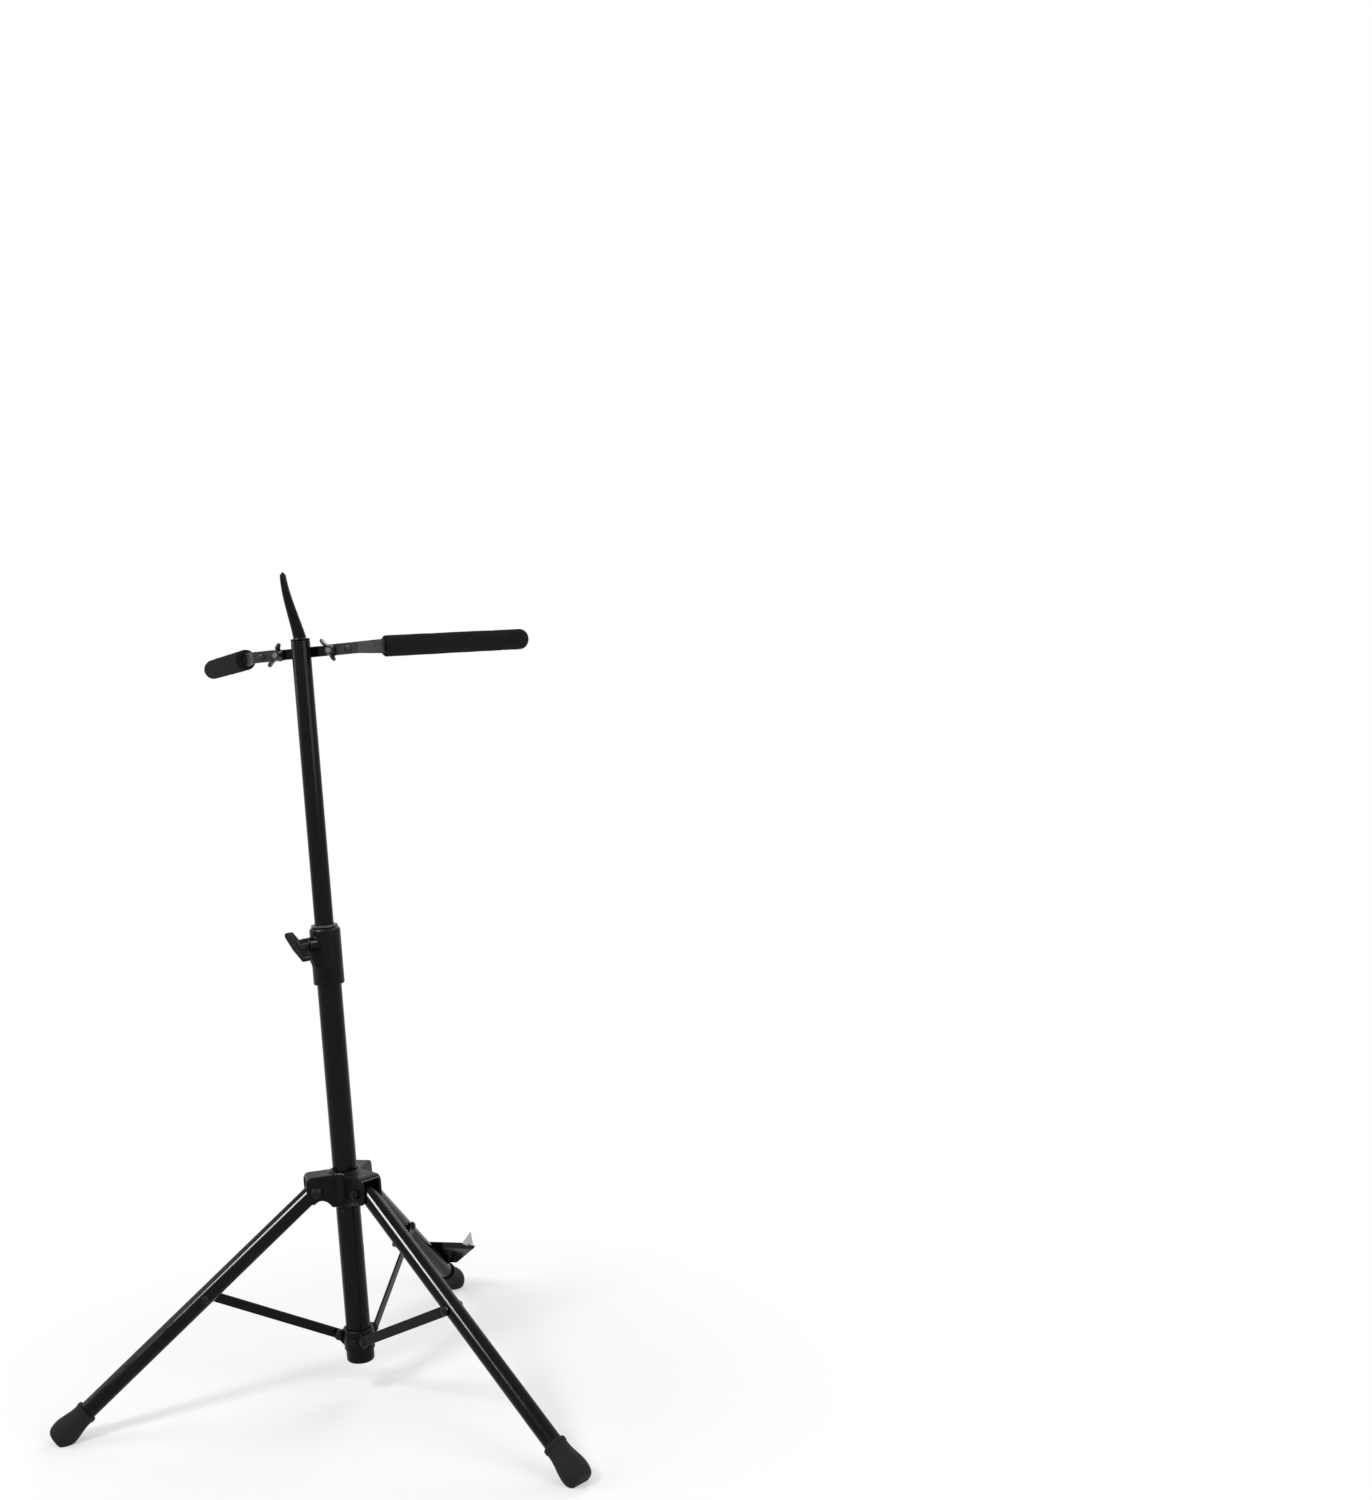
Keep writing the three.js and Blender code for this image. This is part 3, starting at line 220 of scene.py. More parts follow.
def piece(name, shape, body, finish, slot, edge=0, edge_steps=2):
    """The finished piece in metres, riding on its body, with its sharp edges rounded."""
    placed(shape, Matrix.Scale(MILLIMETRE, 4))
    mesh = bpy.data.meshes.new(name)
    shape.to_mesh(mesh)
    shape.free()
    mesh.shade_smooth()
    mesh.set_sharp_from_angle(angle=SHARP_FROM)
    made = bpy.data.objects.new(name, mesh)
    made.data.materials.append(finish)
    bpy.context.scene.collection.objects.link(made)
    if slot in GLEAMING_SLOTS:
        gleaming.objects.link(made)
    if edge:
        rounding = made.modifiers.new("rounded_edges", "BEVEL")
        rounding.width = edge * MILLIMETRE
        rounding.segments = edge_steps
        rounding.limit_method = "ANGLE"
        rounding.angle_limit = SHARP_FROM
        rounding.harden_normals = True
    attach(made, body)
    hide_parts(name)
    return made


def new_finish(name, colour, sockets):
    """A Principled material with its plain values set, and the place its patterns read."""
    made = bpy.data.materials.new(name)
    made.use_nodes = True
    add_node(made.node_tree, "ShaderNodeTexCoord", {"name": "place"})
    shader = made.node_tree.nodes["Principled BSDF"]
    shader.inputs["Base Color"].default_value = to_linear(colour)
    for socket, value in sockets.items():
        shader.inputs[socket].default_value = value
    return made


def pattern(finish, kind="ShaderNodeTexNoise", **sockets):
    """A pattern on the finish. Its Scale is in hills to the metre."""
    read = finish.node_tree.nodes["place"].outputs["Object"]
    return add_node(finish.node_tree, kind, sockets, {"Vector": read}).outputs[0]


def feed(finish, socket, output):
    tree = finish.node_tree
    tree.links.new(output, tree.nodes["Principled BSDF"].inputs[socket])


def tinted(finish, hills, dark, light):
    """The finish goes from its dark colour to its light one as the pattern rises."""
    mixed = add_node(finish.node_tree, "ShaderNodeMix", {
        "data_type": "RGBA", "A": to_linear(dark), "B": to_linear(light)}, {"Factor": hills})
    feed(finish, "Base Color", mixed.outputs["Result"])


def dulled(finish, hills, least, most, low=0, high=1):
    """Its roughness goes from least to most as the pattern rises from low to high."""
    spread = add_node(finish.node_tree, "ShaderNodeMapRange", {
        "From Min": low, "From Max": high, "To Min": least, "To Max": most}, {"Value": hills})
    feed(finish, "Roughness", spread.outputs[0])


def raised(finish, hills, strength, metres, over=None):
    """The pattern raises its surface by so many metres, over an earlier relief."""
    relief = add_node(finish.node_tree, "ShaderNodeBump", {
        "Strength": strength, "Distance": metres}, {"Height": hills})
    if over is not None:
        finish.node_tree.links.new(over, relief.inputs["Normal"])
    feed(finish, "Normal", relief.outputs[0])
    return relief.outputs[0]


# Stove enamel on steel: deep gloss black with faint orange peel, 3 mm from hill to hill,
# and patches where handling has dulled it a little.
enamel = new_finish("stove_enamelled_steel", "#080809", {
    "Roughness": 0.15, "IOR": 1.5, "Specular IOR Level": 0.1})
peel = pattern(enamel, Scale=330, Detail=2)
handling = pattern(enamel, Scale=22, Detail=5, Roughness=0.65)
dulled(enamel, handling, 0.1, 0.2, low=0.35, high=0.7)
tinted(enamel, handling, "#050506", "#0e0e0f")
raised(enamel, peel, 0.15, 0.00003)

MAST = Matrix.Translation(MAST_PLACE / MILLIMETRE)
piece("lower_tube", placed(tube_shape(**LOWER_TUBE), MAST),
      "base", enamel, "gloss_black_paint", edge=TUBE_DEBURR)


# Hub stop pin: a blackened steel pin with a domed head, driven into the lower tube's
# back. The sliding hub rests on its head.
PIN_STEPS = 40
DOME_STEPS = 7
STOP_PIN = {"shank": 2, "start": 12.8, "seat": 14.3, "head": 3, "height": 2.4}
STOP_PIN_AT = 215.7
QUARTER_TURN = math.pi / 2
ALONG_Y = Matrix.Rotation(-QUARTER_TURN, 4, "X")
AGAINST_Y = Matrix.Rotation(QUARTER_TURN, 4, "X")
ALONG_X = Matrix.Rotation(QUARTER_TURN, 4, "Y")


def domed_pin(shank, start, seat, head, height):
    """A pin along Z with a domed head on its far end."""
    profile = [(0, start), (shank, start), (shank, seat), (head, seat)]
    for step in range(1, DOME_STEPS + 1):
        turn = step / DOME_STEPS * QUARTER_TURN
        profile.append((max(head * math.cos(turn), 0), seat + height * math.sin(turn)))
    profile[-1] = (0, seat + height)
    return turned(profile, PIN_STEPS)


def shift(x=0, y=0, z=0):
    return Matrix.Translation((x, y, z))


# Blackened steel: dipped and oiled, near black, with a cloudy sheen some 3 mm across. A
# domed head shows a soft grey highlight.
blackened = new_finish("blackened_oiled_steel", "#232527", {"Metallic": 1, "Roughness": 0.4})
oil = pattern(blackened, Scale=340, Detail=4, Roughness=0.6)
dulled(blackened, oil, 0.3, 0.55)
tinted(blackened, oil, "#191717", "#302d2d")

piece("hub_stop_pin", placed(domed_pin(**STOP_PIN), MAST, shift(z=STOP_PIN_AT), ALONG_Y),
      "base", blackened, "blackened_steel")


# End cap: a moulded black plastic cap pushed over the foot of the lower tube, with its
# lower corner rounded and a small round recess left by the gate in the middle.
END_CAP = {"radius": 15.9, "bore": 14.3, "bottom": 39, "floor": 43, "top": 52, "rounding": 3}
GATE = {"radius": 2.5, "depth": 0.5}
ARC_STEPS = 6
CAP_EDGE = 0.4


def arc(centre_x, centre_y, radius, start, end, steps=ARC_STEPS):
    """Corners along an arc of a profile, its angles in degrees from outwards."""
    turns = [math.radians(start + (end - start) * step / steps) for step in range(steps + 1)]
    return [(centre_x + radius * math.cos(turn), centre_y + radius * math.sin(turn))
            for turn in turns]


# Moulded plastic: black with a fine spark eroded grain, about 0.7 mm, and an even skin
# that throws a fairly sharp gleam where the mould was polished by wear.
plastic = new_finish("grained_black_plastic", "#0a0909", {
    "Roughness": 0.34, "IOR": 1.5, "Specular IOR Level": 0.08})
grain = pattern(plastic, Scale=1400, Detail=3)
polish = pattern(plastic, Scale=60, Detail=3)
dulled(plastic, polish, 0.26, 0.42, low=0.3, high=0.7)
tinted(plastic, polish, "#060606", "#0f0e0e")
raised(plastic, grain, 0.5, 0.00006)

cap = END_CAP
gate_top = cap["bottom"] + GATE["depth"]
cap_profile = [(0, gate_top), (GATE["radius"], gate_top), (GATE["radius"], cap["bottom"])]
cap_profile += arc(
    cap["radius"] - cap["rounding"], cap["bottom"] + cap["rounding"], cap["rounding"], -90, 0)
cap_profile += [(cap["radius"], cap["top"]), (cap["bore"], cap["top"]),
                (cap["bore"], cap["floor"]), (0, cap["floor"])]
piece("lower_end_cap", placed(turned(cap_profile), MAST),
      "base", plastic, "matt_black_plastic", edge=CAP_EDGE)

# Lower hub: a moulded ring fixed near the tube's foot, with three fins that the struts are
# riveted to. Each fin lies beside the plane of its leg, and small radii join it to the ring.
LEG_ANGLES = {"front": -90, "right": 30, "left": 150}
LOWER_HUB = {"radius": 17.5, "bore": 14.3, "bottom": 52.6, "top": 76.6, "rounding": 1}
LOWER_HUB_CUT = {"low": 40, "high": 90}
FIN = {"from": -10, "to": -4, "tip": 22, "height": 68, "round": 5.5, "foot": 6}
FIN_STEPS = 16
STRUT_PIVOT = Vector((FIN["tip"], 0, FIN["height"]))
MOULD_SKIN = 0.55
SOFTENING = 0.5


def plate(outline, low, high):
    """A plate along Z from an outline of (x, y) corners."""
    shape = bmesh.new()
    face = shape.faces.new([shape.verts.new((x, y, low)) for x, y in outline])
    top = bmesh.ops.extrude_face_region(shape, geom=[face])
    far = [v for v in top["geom"] if isinstance(v, bmesh.types.BMVert)]
    bmesh.ops.translate(shape, vec=(0, 0, high - low), verts=far)
    bmesh.ops.recalc_face_normals(shape, faces=shape.faces)
    return shape


def upright(outline, near, far):
    """A plate from an outline in X and Z, with its thickness along Y."""
    return placed(plate(outline, -far, -near), AGAINST_Y)


def block(x, y, z):
    """A block between the limits on each axis."""
    shape = bmesh.new()
    bmesh.ops.create_cube(shape, size=1)
    middle = [(low + high) / 2 for low, high in (x, y, z)]
    size = [high - low for low, high in (x, y, z)]
    return placed(shape, Matrix.Translation(middle), Matrix.Diagonal((*size, 1)))


def formed(first, steps, skin=0, passes=4):
    """One closed shape: each step joins, cuts or keeps what it shares with the next one.
    A skin in millimetres is drawn evenly over the result, and so many passes soften its
    corners as a mould leaves them."""
    holders = []
    for shape, _ in [(first, None)] + list(steps):
        mesh = bpy.data.meshes.new("blank")
        shape.to_mesh(mesh)
        shape.free()
        holders.append(bpy.data.objects.new("blank", mesh))
        bpy.context.scene.collection.objects.link(holders[-1])
    whole = holders[0]
    for holder, (_, operation) in zip(holders[1:], steps):
        step = whole.modifiers.new("step", "BOOLEAN")
        step.operation = operation
        step.object = holder
        step.solver = "EXACT"
    if skin:
        even = whole.modifiers.new("skin", "REMESH")
        even.mode = "VOXEL"
        even.voxel_size = skin
        soft = whole.modifiers.new("soft", "SMOOTH")
        soft.factor = SOFTENING
        soft.iterations = passes
    result = bmesh.new()
    result.from_object(whole, bpy.context.evaluated_depsgraph_get())
    for holder in holders:
        mesh = holder.data
        bpy.data.objects.remove(holder)
        bpy.data.meshes.remove(mesh)
    return result


def around(angle):
    return Matrix.Rotation(math.radians(angle), 4, "Z")


def leg_plane(side):
    return MAST @ around(LEG_ANGLES[side])


ring, ring_round = LOWER_HUB, LOWER_HUB["rounding"]
shoulder = ring["radius"] - ring_round
ring_profile = [(0, ring["bottom"]), (shoulder, ring["bottom"])]
ring_profile += arc(shoulder, ring["bottom"] + ring_round, ring_round, -90, 0)
ring_profile += arc(shoulder, ring["top"] - ring_round, ring_round, 0, 90)
ring_profile += [(0, ring["top"])]
fin_foot = FIN["height"] - FIN["round"] - FIN["foot"]
fin_outline = [(ring["bore"], FIN["height"] + FIN["round"])]
fin_outline += arc(FIN["tip"], FIN["height"], FIN["round"], 90, -90, FIN_STEPS)
fin_outline += [(ring["radius"], fin_foot), (ring["bore"], fin_foot)]
ring_steps = [(placed(upright(fin_outline, FIN["from"], FIN["to"]), around(angle)), "UNION")
              for angle in LEG_ANGLES.values()]
ring_steps.append((rod(ring["bore"], **LOWER_HUB_CUT), "DIFFERENCE"))
piece("lower_hub", placed(formed(turned(ring_profile), ring_steps, MOULD_SKIN), MAST),
      "base", plastic, "matt_black_plastic")

# Lower hub screw: a blackened cross head screw through the ring's back into the tube, so
# that the ring stays at its height.
CROSS = {"length": 3.4, "width": 0.8, "depth": 1}
LOWER_HUB_SCREW = {"shank": 2, "start": 12.8, "seat": 17.8, "head": 3.4, "height": 1.8}
LOWER_HUB_SCREW_AT = 64.6
LOWER_HUB_SCREW_TURN = 40
CUT_PAST = 1


def screw(shank, start, seat, head, height):
    """A domed pin with a cross recess in its head."""
    top = seat + height
    half = CROSS["length"] / 2
    thin = CROSS["width"] / 2
    depth = (top - CROSS["depth"], top + CUT_PAST)
    return formed(domed_pin(shank, start, seat, head, height), [
        (block((-half, half), (-thin, thin), depth), "DIFFERENCE"),
        (block((-thin, thin), (-half, half), depth), "DIFFERENCE")])


piece("lower_hub_screw", placed(
    screw(**LOWER_HUB_SCREW), MAST, shift(z=LOWER_HUB_SCREW_AT), ALONG_Y,
    around(LOWER_HUB_SCREW_TURN)), "base", blackened, "blackened_steel")

# Sliding hub: a glass filled nylon moulding that rides on the lower tube. Three roofed
# ears, arched below, take the heads of the legs, and small radii soften every corner.
HUB = {"bottom": 219, "top": 259, "radius": 19, "bore": 14.3, "chamfer": 1.5}
HUB_CUT = {"low": 200, "high": 280}
HUB_EAR = {"reach": 47, "top": 257, "bottom": 226, "corner": 7, "heel": 39, "rise": 9,
           "half": 14.3, "channel": 10.3, "web": 22.2, "roof": 252.5, "cut_past": 4}
HUB_SKIN = 0.75
ARCH_STEPS = 10
hub, cheek = HUB, HUB_EAR
hub_low, hub_high = hub["bottom"] + hub["chamfer"], hub["top"] - hub["chamfer"]
hub_rim = hub["radius"] - hub["chamfer"]
hub_profile = [(0, hub["bottom"]), (hub_rim, hub["bottom"]), (hub["radius"], hub_low),
               (hub["radius"], hub_high), (hub_rim, hub["top"]), (0, hub["top"])]
corner_at = cheek["reach"] - cheek["corner"]
ear_outline = [(hub["bore"], cheek["top"])]
ear_outline += arc(corner_at, cheek["top"] - cheek["corner"], cheek["corner"], 90, 0)
ear_outline += arc(corner_at, cheek["bottom"] + cheek["corner"], cheek["corner"], 0, -90)
arch = [Vector((cheek["heel"], cheek["bottom"])),
        Vector(((cheek["heel"] + hub["radius"]) / 2, cheek["bottom"] + cheek["rise"])),
        Vector((hub["radius"], hub_low))]
for step in range(ARCH_STEPS + 1):
    share = step / ARCH_STEPS
    point = arch[0] * (1 - share) ** 2 + arch[1] * 2 * share * (1 - share) + arch[2] * share ** 2
    ear_outline.append((point.x, point.y))
ear_outline.append((hub["bore"], hub_low))
hub_steps = [(placed(upright(ear_outline, -cheek["half"], cheek["half"]), around(angle)), "UNION")
             for angle in LEG_ANGLES.values()]
hub_steps += [(placed(block(
    (cheek["web"], cheek["reach"] + cheek["cut_past"]), (-cheek["channel"], cheek["channel"]),
    (hub["bottom"] - cheek["cut_past"], cheek["roof"])), around(angle)), "DIFFERENCE")
    for angle in LEG_ANGLES.values()]
hub_steps.append((rod(hub["bore"], **HUB_CUT), "DIFFERENCE"))
piece("hub", placed(formed(turned(hub_profile), hub_steps, HUB_SKIN), MAST),
      "hub", plastic, "matt_black_plastic")

# Leg pivots: a domed bolt through both cheeks of each ear, with a hexagon nut on its
# other end. Both are blackened steel.
LEG_PIVOT = Vector((36, 0, 239))
PIVOT_BOLT = {"shank": 3, "start": -20.4, "seat": 14.6, "head": 7, "height": 3.4}
PIVOT_NUT = {"flats": 10, "height": 5, "bore": 3.1, "chamfer": 0.9}
BLANK_MARGIN = 0.1


def hexagon_nut(flats, height, bore, chamfer):
    """A nut along Z with its corners turned off at both ends."""
    corner = flats / 2 / math.cos(math.pi / 6)
    turns = [math.radians(60 * side) for side in range(6)]
    prism = plate([(corner * math.cos(turn), corner * math.sin(turn)) for turn in turns], 0, height)
    drop = (corner - flats / 2) * chamfer
    wide = corner + BLANK_MARGIN
    blank = turned([(0, 0), (flats / 2, 0), (wide, drop), (wide, height - drop),
                    (flats / 2, height), (0, height)], PIN_STEPS)
    hole = rod(bore, -CUT_PAST, height + CUT_PAST, PIN_STEPS)
    return formed(prism, [(blank, "INTERSECT"), (hole, "DIFFERENCE")])


for side in LEG_ANGLES:
    at_pivot = leg_plane(side) @ Matrix.Translation(LEG_PIVOT)
    piece(f"leg_bolt_{side}", placed(domed_pin(**PIVOT_BOLT), at_pivot, ALONG_Y),
          "hub", blackened, "blackened_steel")
    piece(f"leg_nut_{side}", placed(
        hexagon_nut(**PIVOT_NUT), at_pivot, shift(y=-PIVOT_BOLT["seat"]), AGAINST_Y),
        "hub", blackened, "blackened_steel")

# Legs: 20 mm steel tube with a 1.5 mm wall, enamelled like the mast. The head turns in the
# hub's ear, and the foot end goes into a rubber boot.
LEG_TILT = math.radians(37.5)
LEG = {"outer": 10, "inner": 8.5, "low": -8, "high": 372, "steps": 80}


def on_leg(side):
    """From a leg's own line, with X down the leg from its pivot, into its place."""
    return leg_plane(side) @ Matrix.Translation(LEG_PIVOT) @ Matrix.Rotation(LEG_TILT, 4, "Y")


for side in LEG_ANGLES:
    piece(f"leg_{side}", placed(tube_shape(**LEG), on_leg(side), ALONG_X),
          f"leg_{side}", enamel, "gloss_black_paint", edge=TUBE_DEBURR)

# Feet: black rubber boots pulled over the legs. A bead runs round the mouth, the boot
# swells towards its round end, and the underside is worn flat where it stands.
FOOT = {"mouth": 342, "end": 387, "bead": 12.8, "bead_length": 5, "bead_edge": 0.8,
        "neck": 12, "neck_ease": 2, "swell_after": 3, "swell": 15.5, "tip": 10.5,
        "rounding": 12, "bore": 10.3, "bottom": 372.3}
SWELL_STEPS = 8
END_STEPS = 10
BOOT_STEPS = 72
BOOT_EDGE = 0.4

# Rubber: black, slightly greyed with floor dust, with a skin too fine to see drawn as
# 1.2 mm grain.
rubber = new_finish("worn_black_rubber", "#171615", {
    "Roughness": 0.72, "IOR": 1.52, "Specular IOR Level": 0.15})
skin_grain = pattern(rubber, Scale=800, Detail=4)
dusting = pattern(rubber, Scale=75, Detail=5, Roughness=0.7)
tinted(rubber, dusting, "#0d0c0c", "#21201e")
dulled(rubber, dusting, 0.55, 0.9)
raised(rubber, skin_grain, 0.6, 0.0001)

boot = FOOT
bead_end = boot["mouth"] + boot["bead_length"]
bead_flat = boot["bead"] - boot["bead_edge"]
swell_start = bead_end + boot["swell_after"]
swell_end = boot["end"] - boot["rounding"]
boot_profile = [
    (boot["bore"], boot["mouth"]), (bead_flat, boot["mouth"]),
    (boot["bead"], boot["mouth"] + boot["bead_edge"]), (boot["bead"], bead_end - boot["bead_edge"]),
    (bead_flat, bead_end), (boot["neck"], swell_start - boot["neck_ease"])]
for step in range(SWELL_STEPS + 1):
    share = step / SWELL_STEPS
    ease = share * share * (3 - 2 * share)
    boot_profile.append((boot["neck"] + (boot["swell"] - boot["neck"]) * ease,
                         swell_start + (swell_end - swell_start) * share))
for step in range(1, END_STEPS + 1):
    turn = step / END_STEPS * QUARTER_TURN
    boot_profile.append((boot["tip"] + (boot["swell"] - boot["tip"]) * math.cos(turn),
                         swell_end + boot["rounding"] * math.sin(turn)))
boot_profile += [(0, boot["end"]), (0, boot["bottom"]), (boot["bore"], boot["bottom"])]
for side in LEG_ANGLES:
    shape = placed(turned(boot_profile, BOOT_STEPS), on_leg(side), ALONG_X)
    everything = shape.verts[:] + shape.edges[:] + shape.faces[:]
    cut = bmesh.ops.bisect_plane(
        shape, geom=everything, plane_co=(0, 0, 0), plane_no=(0, 0, -1), clear_outer=True)
    rim = [edge for edge in cut["geom_cut"] if isinstance(edge, bmesh.types.BMEdge)]
    bmesh.ops.holes_fill(shape, edges=rim)
    bmesh.ops.recalc_face_normals(shape, faces=shape.faces)
    piece(f"foot_{side}", shape, f"leg_{side}", rubber, "black_rubber", edge=BOOT_EDGE)

# Struts: flat steel bars, 11 by 2.5 mm, with round ends and rolled edges, enamelled. Each
# lies flat along the side of its leg and of its fin.
STRUT = {"length": 162.53, "half": 5.5, "near": -12.8, "far": -10.3}
STRUT_TILT = math.radians(-25.0156)
STRUT_EDGE = 0.7
STRUT_EDGE_STEPS = 3
STRUT_ON_LEG = 168
BAR_END_STEPS = 18

# Rivets: domed steel heads, clinched after enamelling. Each runs from its start to the
# face that its head sits on.
RIVET = {"shank": 2.3, "head": 4.6, "height": 2.1}
OUTER_RIVET = {"start": 10.3, "seat": 13.1}
LEG_RIVET = {"start": -9.25, "seat": 10.3}
INNER_RIVET = {"start": 3.7, "seat": 13.1}


def two_headed(start, seat):
    """A rivet with a head at each end, across the line that both of its halves start from."""
    return formed(
        placed(domed_pin(start=-seat, seat=-start, **RIVET), ALONG_Y),
        [(placed(domed_pin(start=start, seat=seat, **RIVET), AGAINST_Y), "UNION")])


strut_outline = arc(0, 0, STRUT["half"], 90, 270, BAR_END_STEPS)
strut_outline += arc(STRUT["length"], 0, STRUT["half"], -90, 90, BAR_END_STEPS)
for side in LEG_ANGLES:
    at_fin = leg_plane(side) @ Matrix.Translation(STRUT_PIVOT)
    on_strut = at_fin @ Matrix.Rotation(STRUT_TILT, 4, "Y")
    piece(f"strut_{side}", placed(upright(strut_outline, STRUT["near"], STRUT["far"]), on_strut),
          f"strut_{side}", enamel, "gloss_black_paint", edge=STRUT_EDGE,
          edge_steps=STRUT_EDGE_STEPS)
    piece(f"strut_rivet_outer_{side}", placed(
        domed_pin(**OUTER_RIVET, **RIVET), on_strut, shift(x=STRUT["length"]), AGAINST_Y),
        f"strut_{side}", blackened, "blackened_steel")
    piece(f"leg_rivet_{side}", placed(
        domed_pin(**LEG_RIVET, **RIVET), on_leg(side), shift(x=STRUT_ON_LEG), ALONG_Y),
        f"leg_{side}", blackened, "blackened_steel")
    piece(f"strut_rivet_inner_{side}", placed(two_headed(**INNER_RIVET), at_fin),
          "base", blackened, "blackened_steel")

# Tray: one blank of 1.5 mm sheet on top of the front leg, folded up at the sides and the
# nose, with a lifted lip behind and one corner turned up past upright. Enamelled.
TRAY = {"rear": 281, "nose": 340, "sheet": 1.5, "rear_half": 56, "nose_half": 16,
        "rear_rim": 57, "nose_rim": 20, "rear_height": 5, "nose_height": 13, "lean": 1,
        "floor": 10.3}
LIP = {"length": 10.2, "half": 44, "corner": 7, "lift": math.radians(21.5), "ear_side": 42.5}
EAR = {"foot": (271, -42.5, 13.5), "corner": (281.5, -55.5, 10.8), "tip": (281, -49, 33)}
BEND_RADIUS = 2.5
BEND_STEPS = 5
LIP_STEPS = 6
TRAY_EDGE = 0.35
FLAT_WITHIN = 0.999
tray = TRAY
rear, nose, rim_nose = tray["rear"], tray["nose"], tray["nose"] + tray["lean"]
rear_top, nose_top = tray["floor"] + tray["rear_height"], tray["floor"] + tray["nose_height"]
sheet = bmesh.new()
fold_end = sheet.verts.new((rear, LIP["half"], tray["floor"]))
floor_corners = [sheet.verts.new((along, across, tray["floor"])) for along, across in (
    (rear, -tray["rear_half"]), (nose, -tray["nose_half"]),
    (nose, tray["nose_half"]), (rear, tray["rear_half"]))]
rim_corners = [sheet.verts.new(corner) for corner in (
    (rear, -tray["rear_rim"], rear_top), (rim_nose, -tray["nose_rim"], nose_top),
    (rim_nose, tray["nose_rim"], nose_top), (rear, tray["rear_rim"], rear_top))]
lip_far = rear - LIP["length"] * math.cos(LIP["lift"])
lip_height = tray["floor"] + LIP["length"] * math.sin(LIP["lift"])
lip_corners = [sheet.verts.new((lip_far, across, lip_height))
               for across in (LIP["half"], -LIP["ear_side"])]
sheet.faces.new(floor_corners + [fold_end])
for i in range(3):
    sheet.faces.new([floor_corners[i + 1], floor_corners[i], rim_corners[i], rim_corners[i + 1]])
sheet.faces.new([floor_corners[0], fold_end, lip_corners[0], lip_corners[1]])
bmesh.ops.bevel(sheet, geom=lip_corners[:1], affect="VERTICES", offset=LIP["corner"],
                segments=LIP_STEPS, profile=0.5, material=-1)
folds = [edge for edge in sheet.edges if len(edge.link_faces) == 2]
bmesh.ops.bevel(sheet, geom=folds, affect="EDGES", offset=BEND_RADIUS,
                segments=BEND_STEPS, profile=0.5, material=-1)
bmesh.ops.recalc_face_normals(sheet, faces=sheet.faces)
if sum(face.normal.z * face.calc_area() for face in sheet.faces) > 0:
    bmesh.ops.reverse_faces(sheet, faces=sheet.faces)
bmesh.ops.solidify(sheet, geom=sheet.faces[:], thickness=tray["sheet"])
bmesh.ops.recalc_face_normals(sheet, faces=sheet.faces)
ear = bmesh.new()
ear_face = ear.faces.new([ear.verts.new(EAR[corner]) for corner in ("foot", "corner", "tip")])
ear_face.normal_update()
thicker = bmesh.ops.extrude_face_region(ear, geom=[ear_face])
bmesh.ops.translate(ear, vec=-ear_face.normal * tray["sheet"], verts=[
    v for v in thicker["geom"] if isinstance(v, bmesh.types.BMVert)])
bmesh.ops.recalc_face_normals(ear, faces=ear.faces)
ear_facing = on_leg("front").to_3x3() @ ear_face.normal
tray_piece = piece(
    "endpin_tray", placed(formed(sheet, [(ear, "UNION")]), on_leg("front")),
    "leg_front", enamel, "gloss_black_paint", edge=TRAY_EDGE)
# The turned up corner is flat, so its faces take no shading from the bends beside them
for face in tray_piece.data.polygons:
    face.use_smooth = abs(face.normal.dot(ear_facing)) < FLAT_WITHIN

# Tray screws: two blackened cross head screws through the tray into the leg, one behind the
# other, with their recesses turned apart.
TRAY_SCREW = {"shank": 2, "start": 6, "seat": 12.1, "head": 4, "height": 2}
TRAY_SCREW_PLACES = (291, 311)
TRAY_SCREW_TURN = 25
for number, screw_at in enumerate(TRAY_SCREW_PLACES, 1):
    piece(f"tray_screw_{number}", placed(
        screw(**TRAY_SCREW), on_leg("front"), shift(x=screw_at), around(TRAY_SCREW_TURN * number)),
        "leg_front", blackened, "blackened_steel")

# Cup: a small turned brass cup, browned with age, in the tray's nose. Its bore narrows
# towards a flat floor.
CUP = {"seat": 12.1, "radius": 8, "height": 5, "wall": 1.6}
CUP_AT = 328
CUP_STEPS = 64
CUP_EDGE = 0.3

# Brass: turned bright, left bare and gone warm brown, with lighter and glossier patches
# some 4 mm across.
brass = new_finish("browned_turned_brass", "#85653a", {"Metallic": 1, "Roughness": 0.38})
age = pattern(brass, Scale=240, Detail=5, Roughness=0.65)
tinted(brass, age, "#5a4227", "#a07c46")
dulled(brass, age, 0.25, 0.6)

cup = CUP
cup_top = cup["seat"] + cup["height"]
cup_floor = cup["seat"] + cup["wall"]
cup_inner = cup["radius"] - cup["wall"]
cup_profile = [
    (0, cup["seat"]), (cup_inner, cup["seat"]), (cup["radius"], cup_floor),
    (cup["radius"], cup_top), (cup_inner, cup_top), (cup_inner - cup["wall"], cup_floor),
    (0, cup_floor)]
piece("endpin_cup", placed(turned(cup_profile, CUP_STEPS), on_leg("front"), shift(x=CUP_AT)),
      "leg_front", brass, "browned_brass", edge=CUP_EDGE)

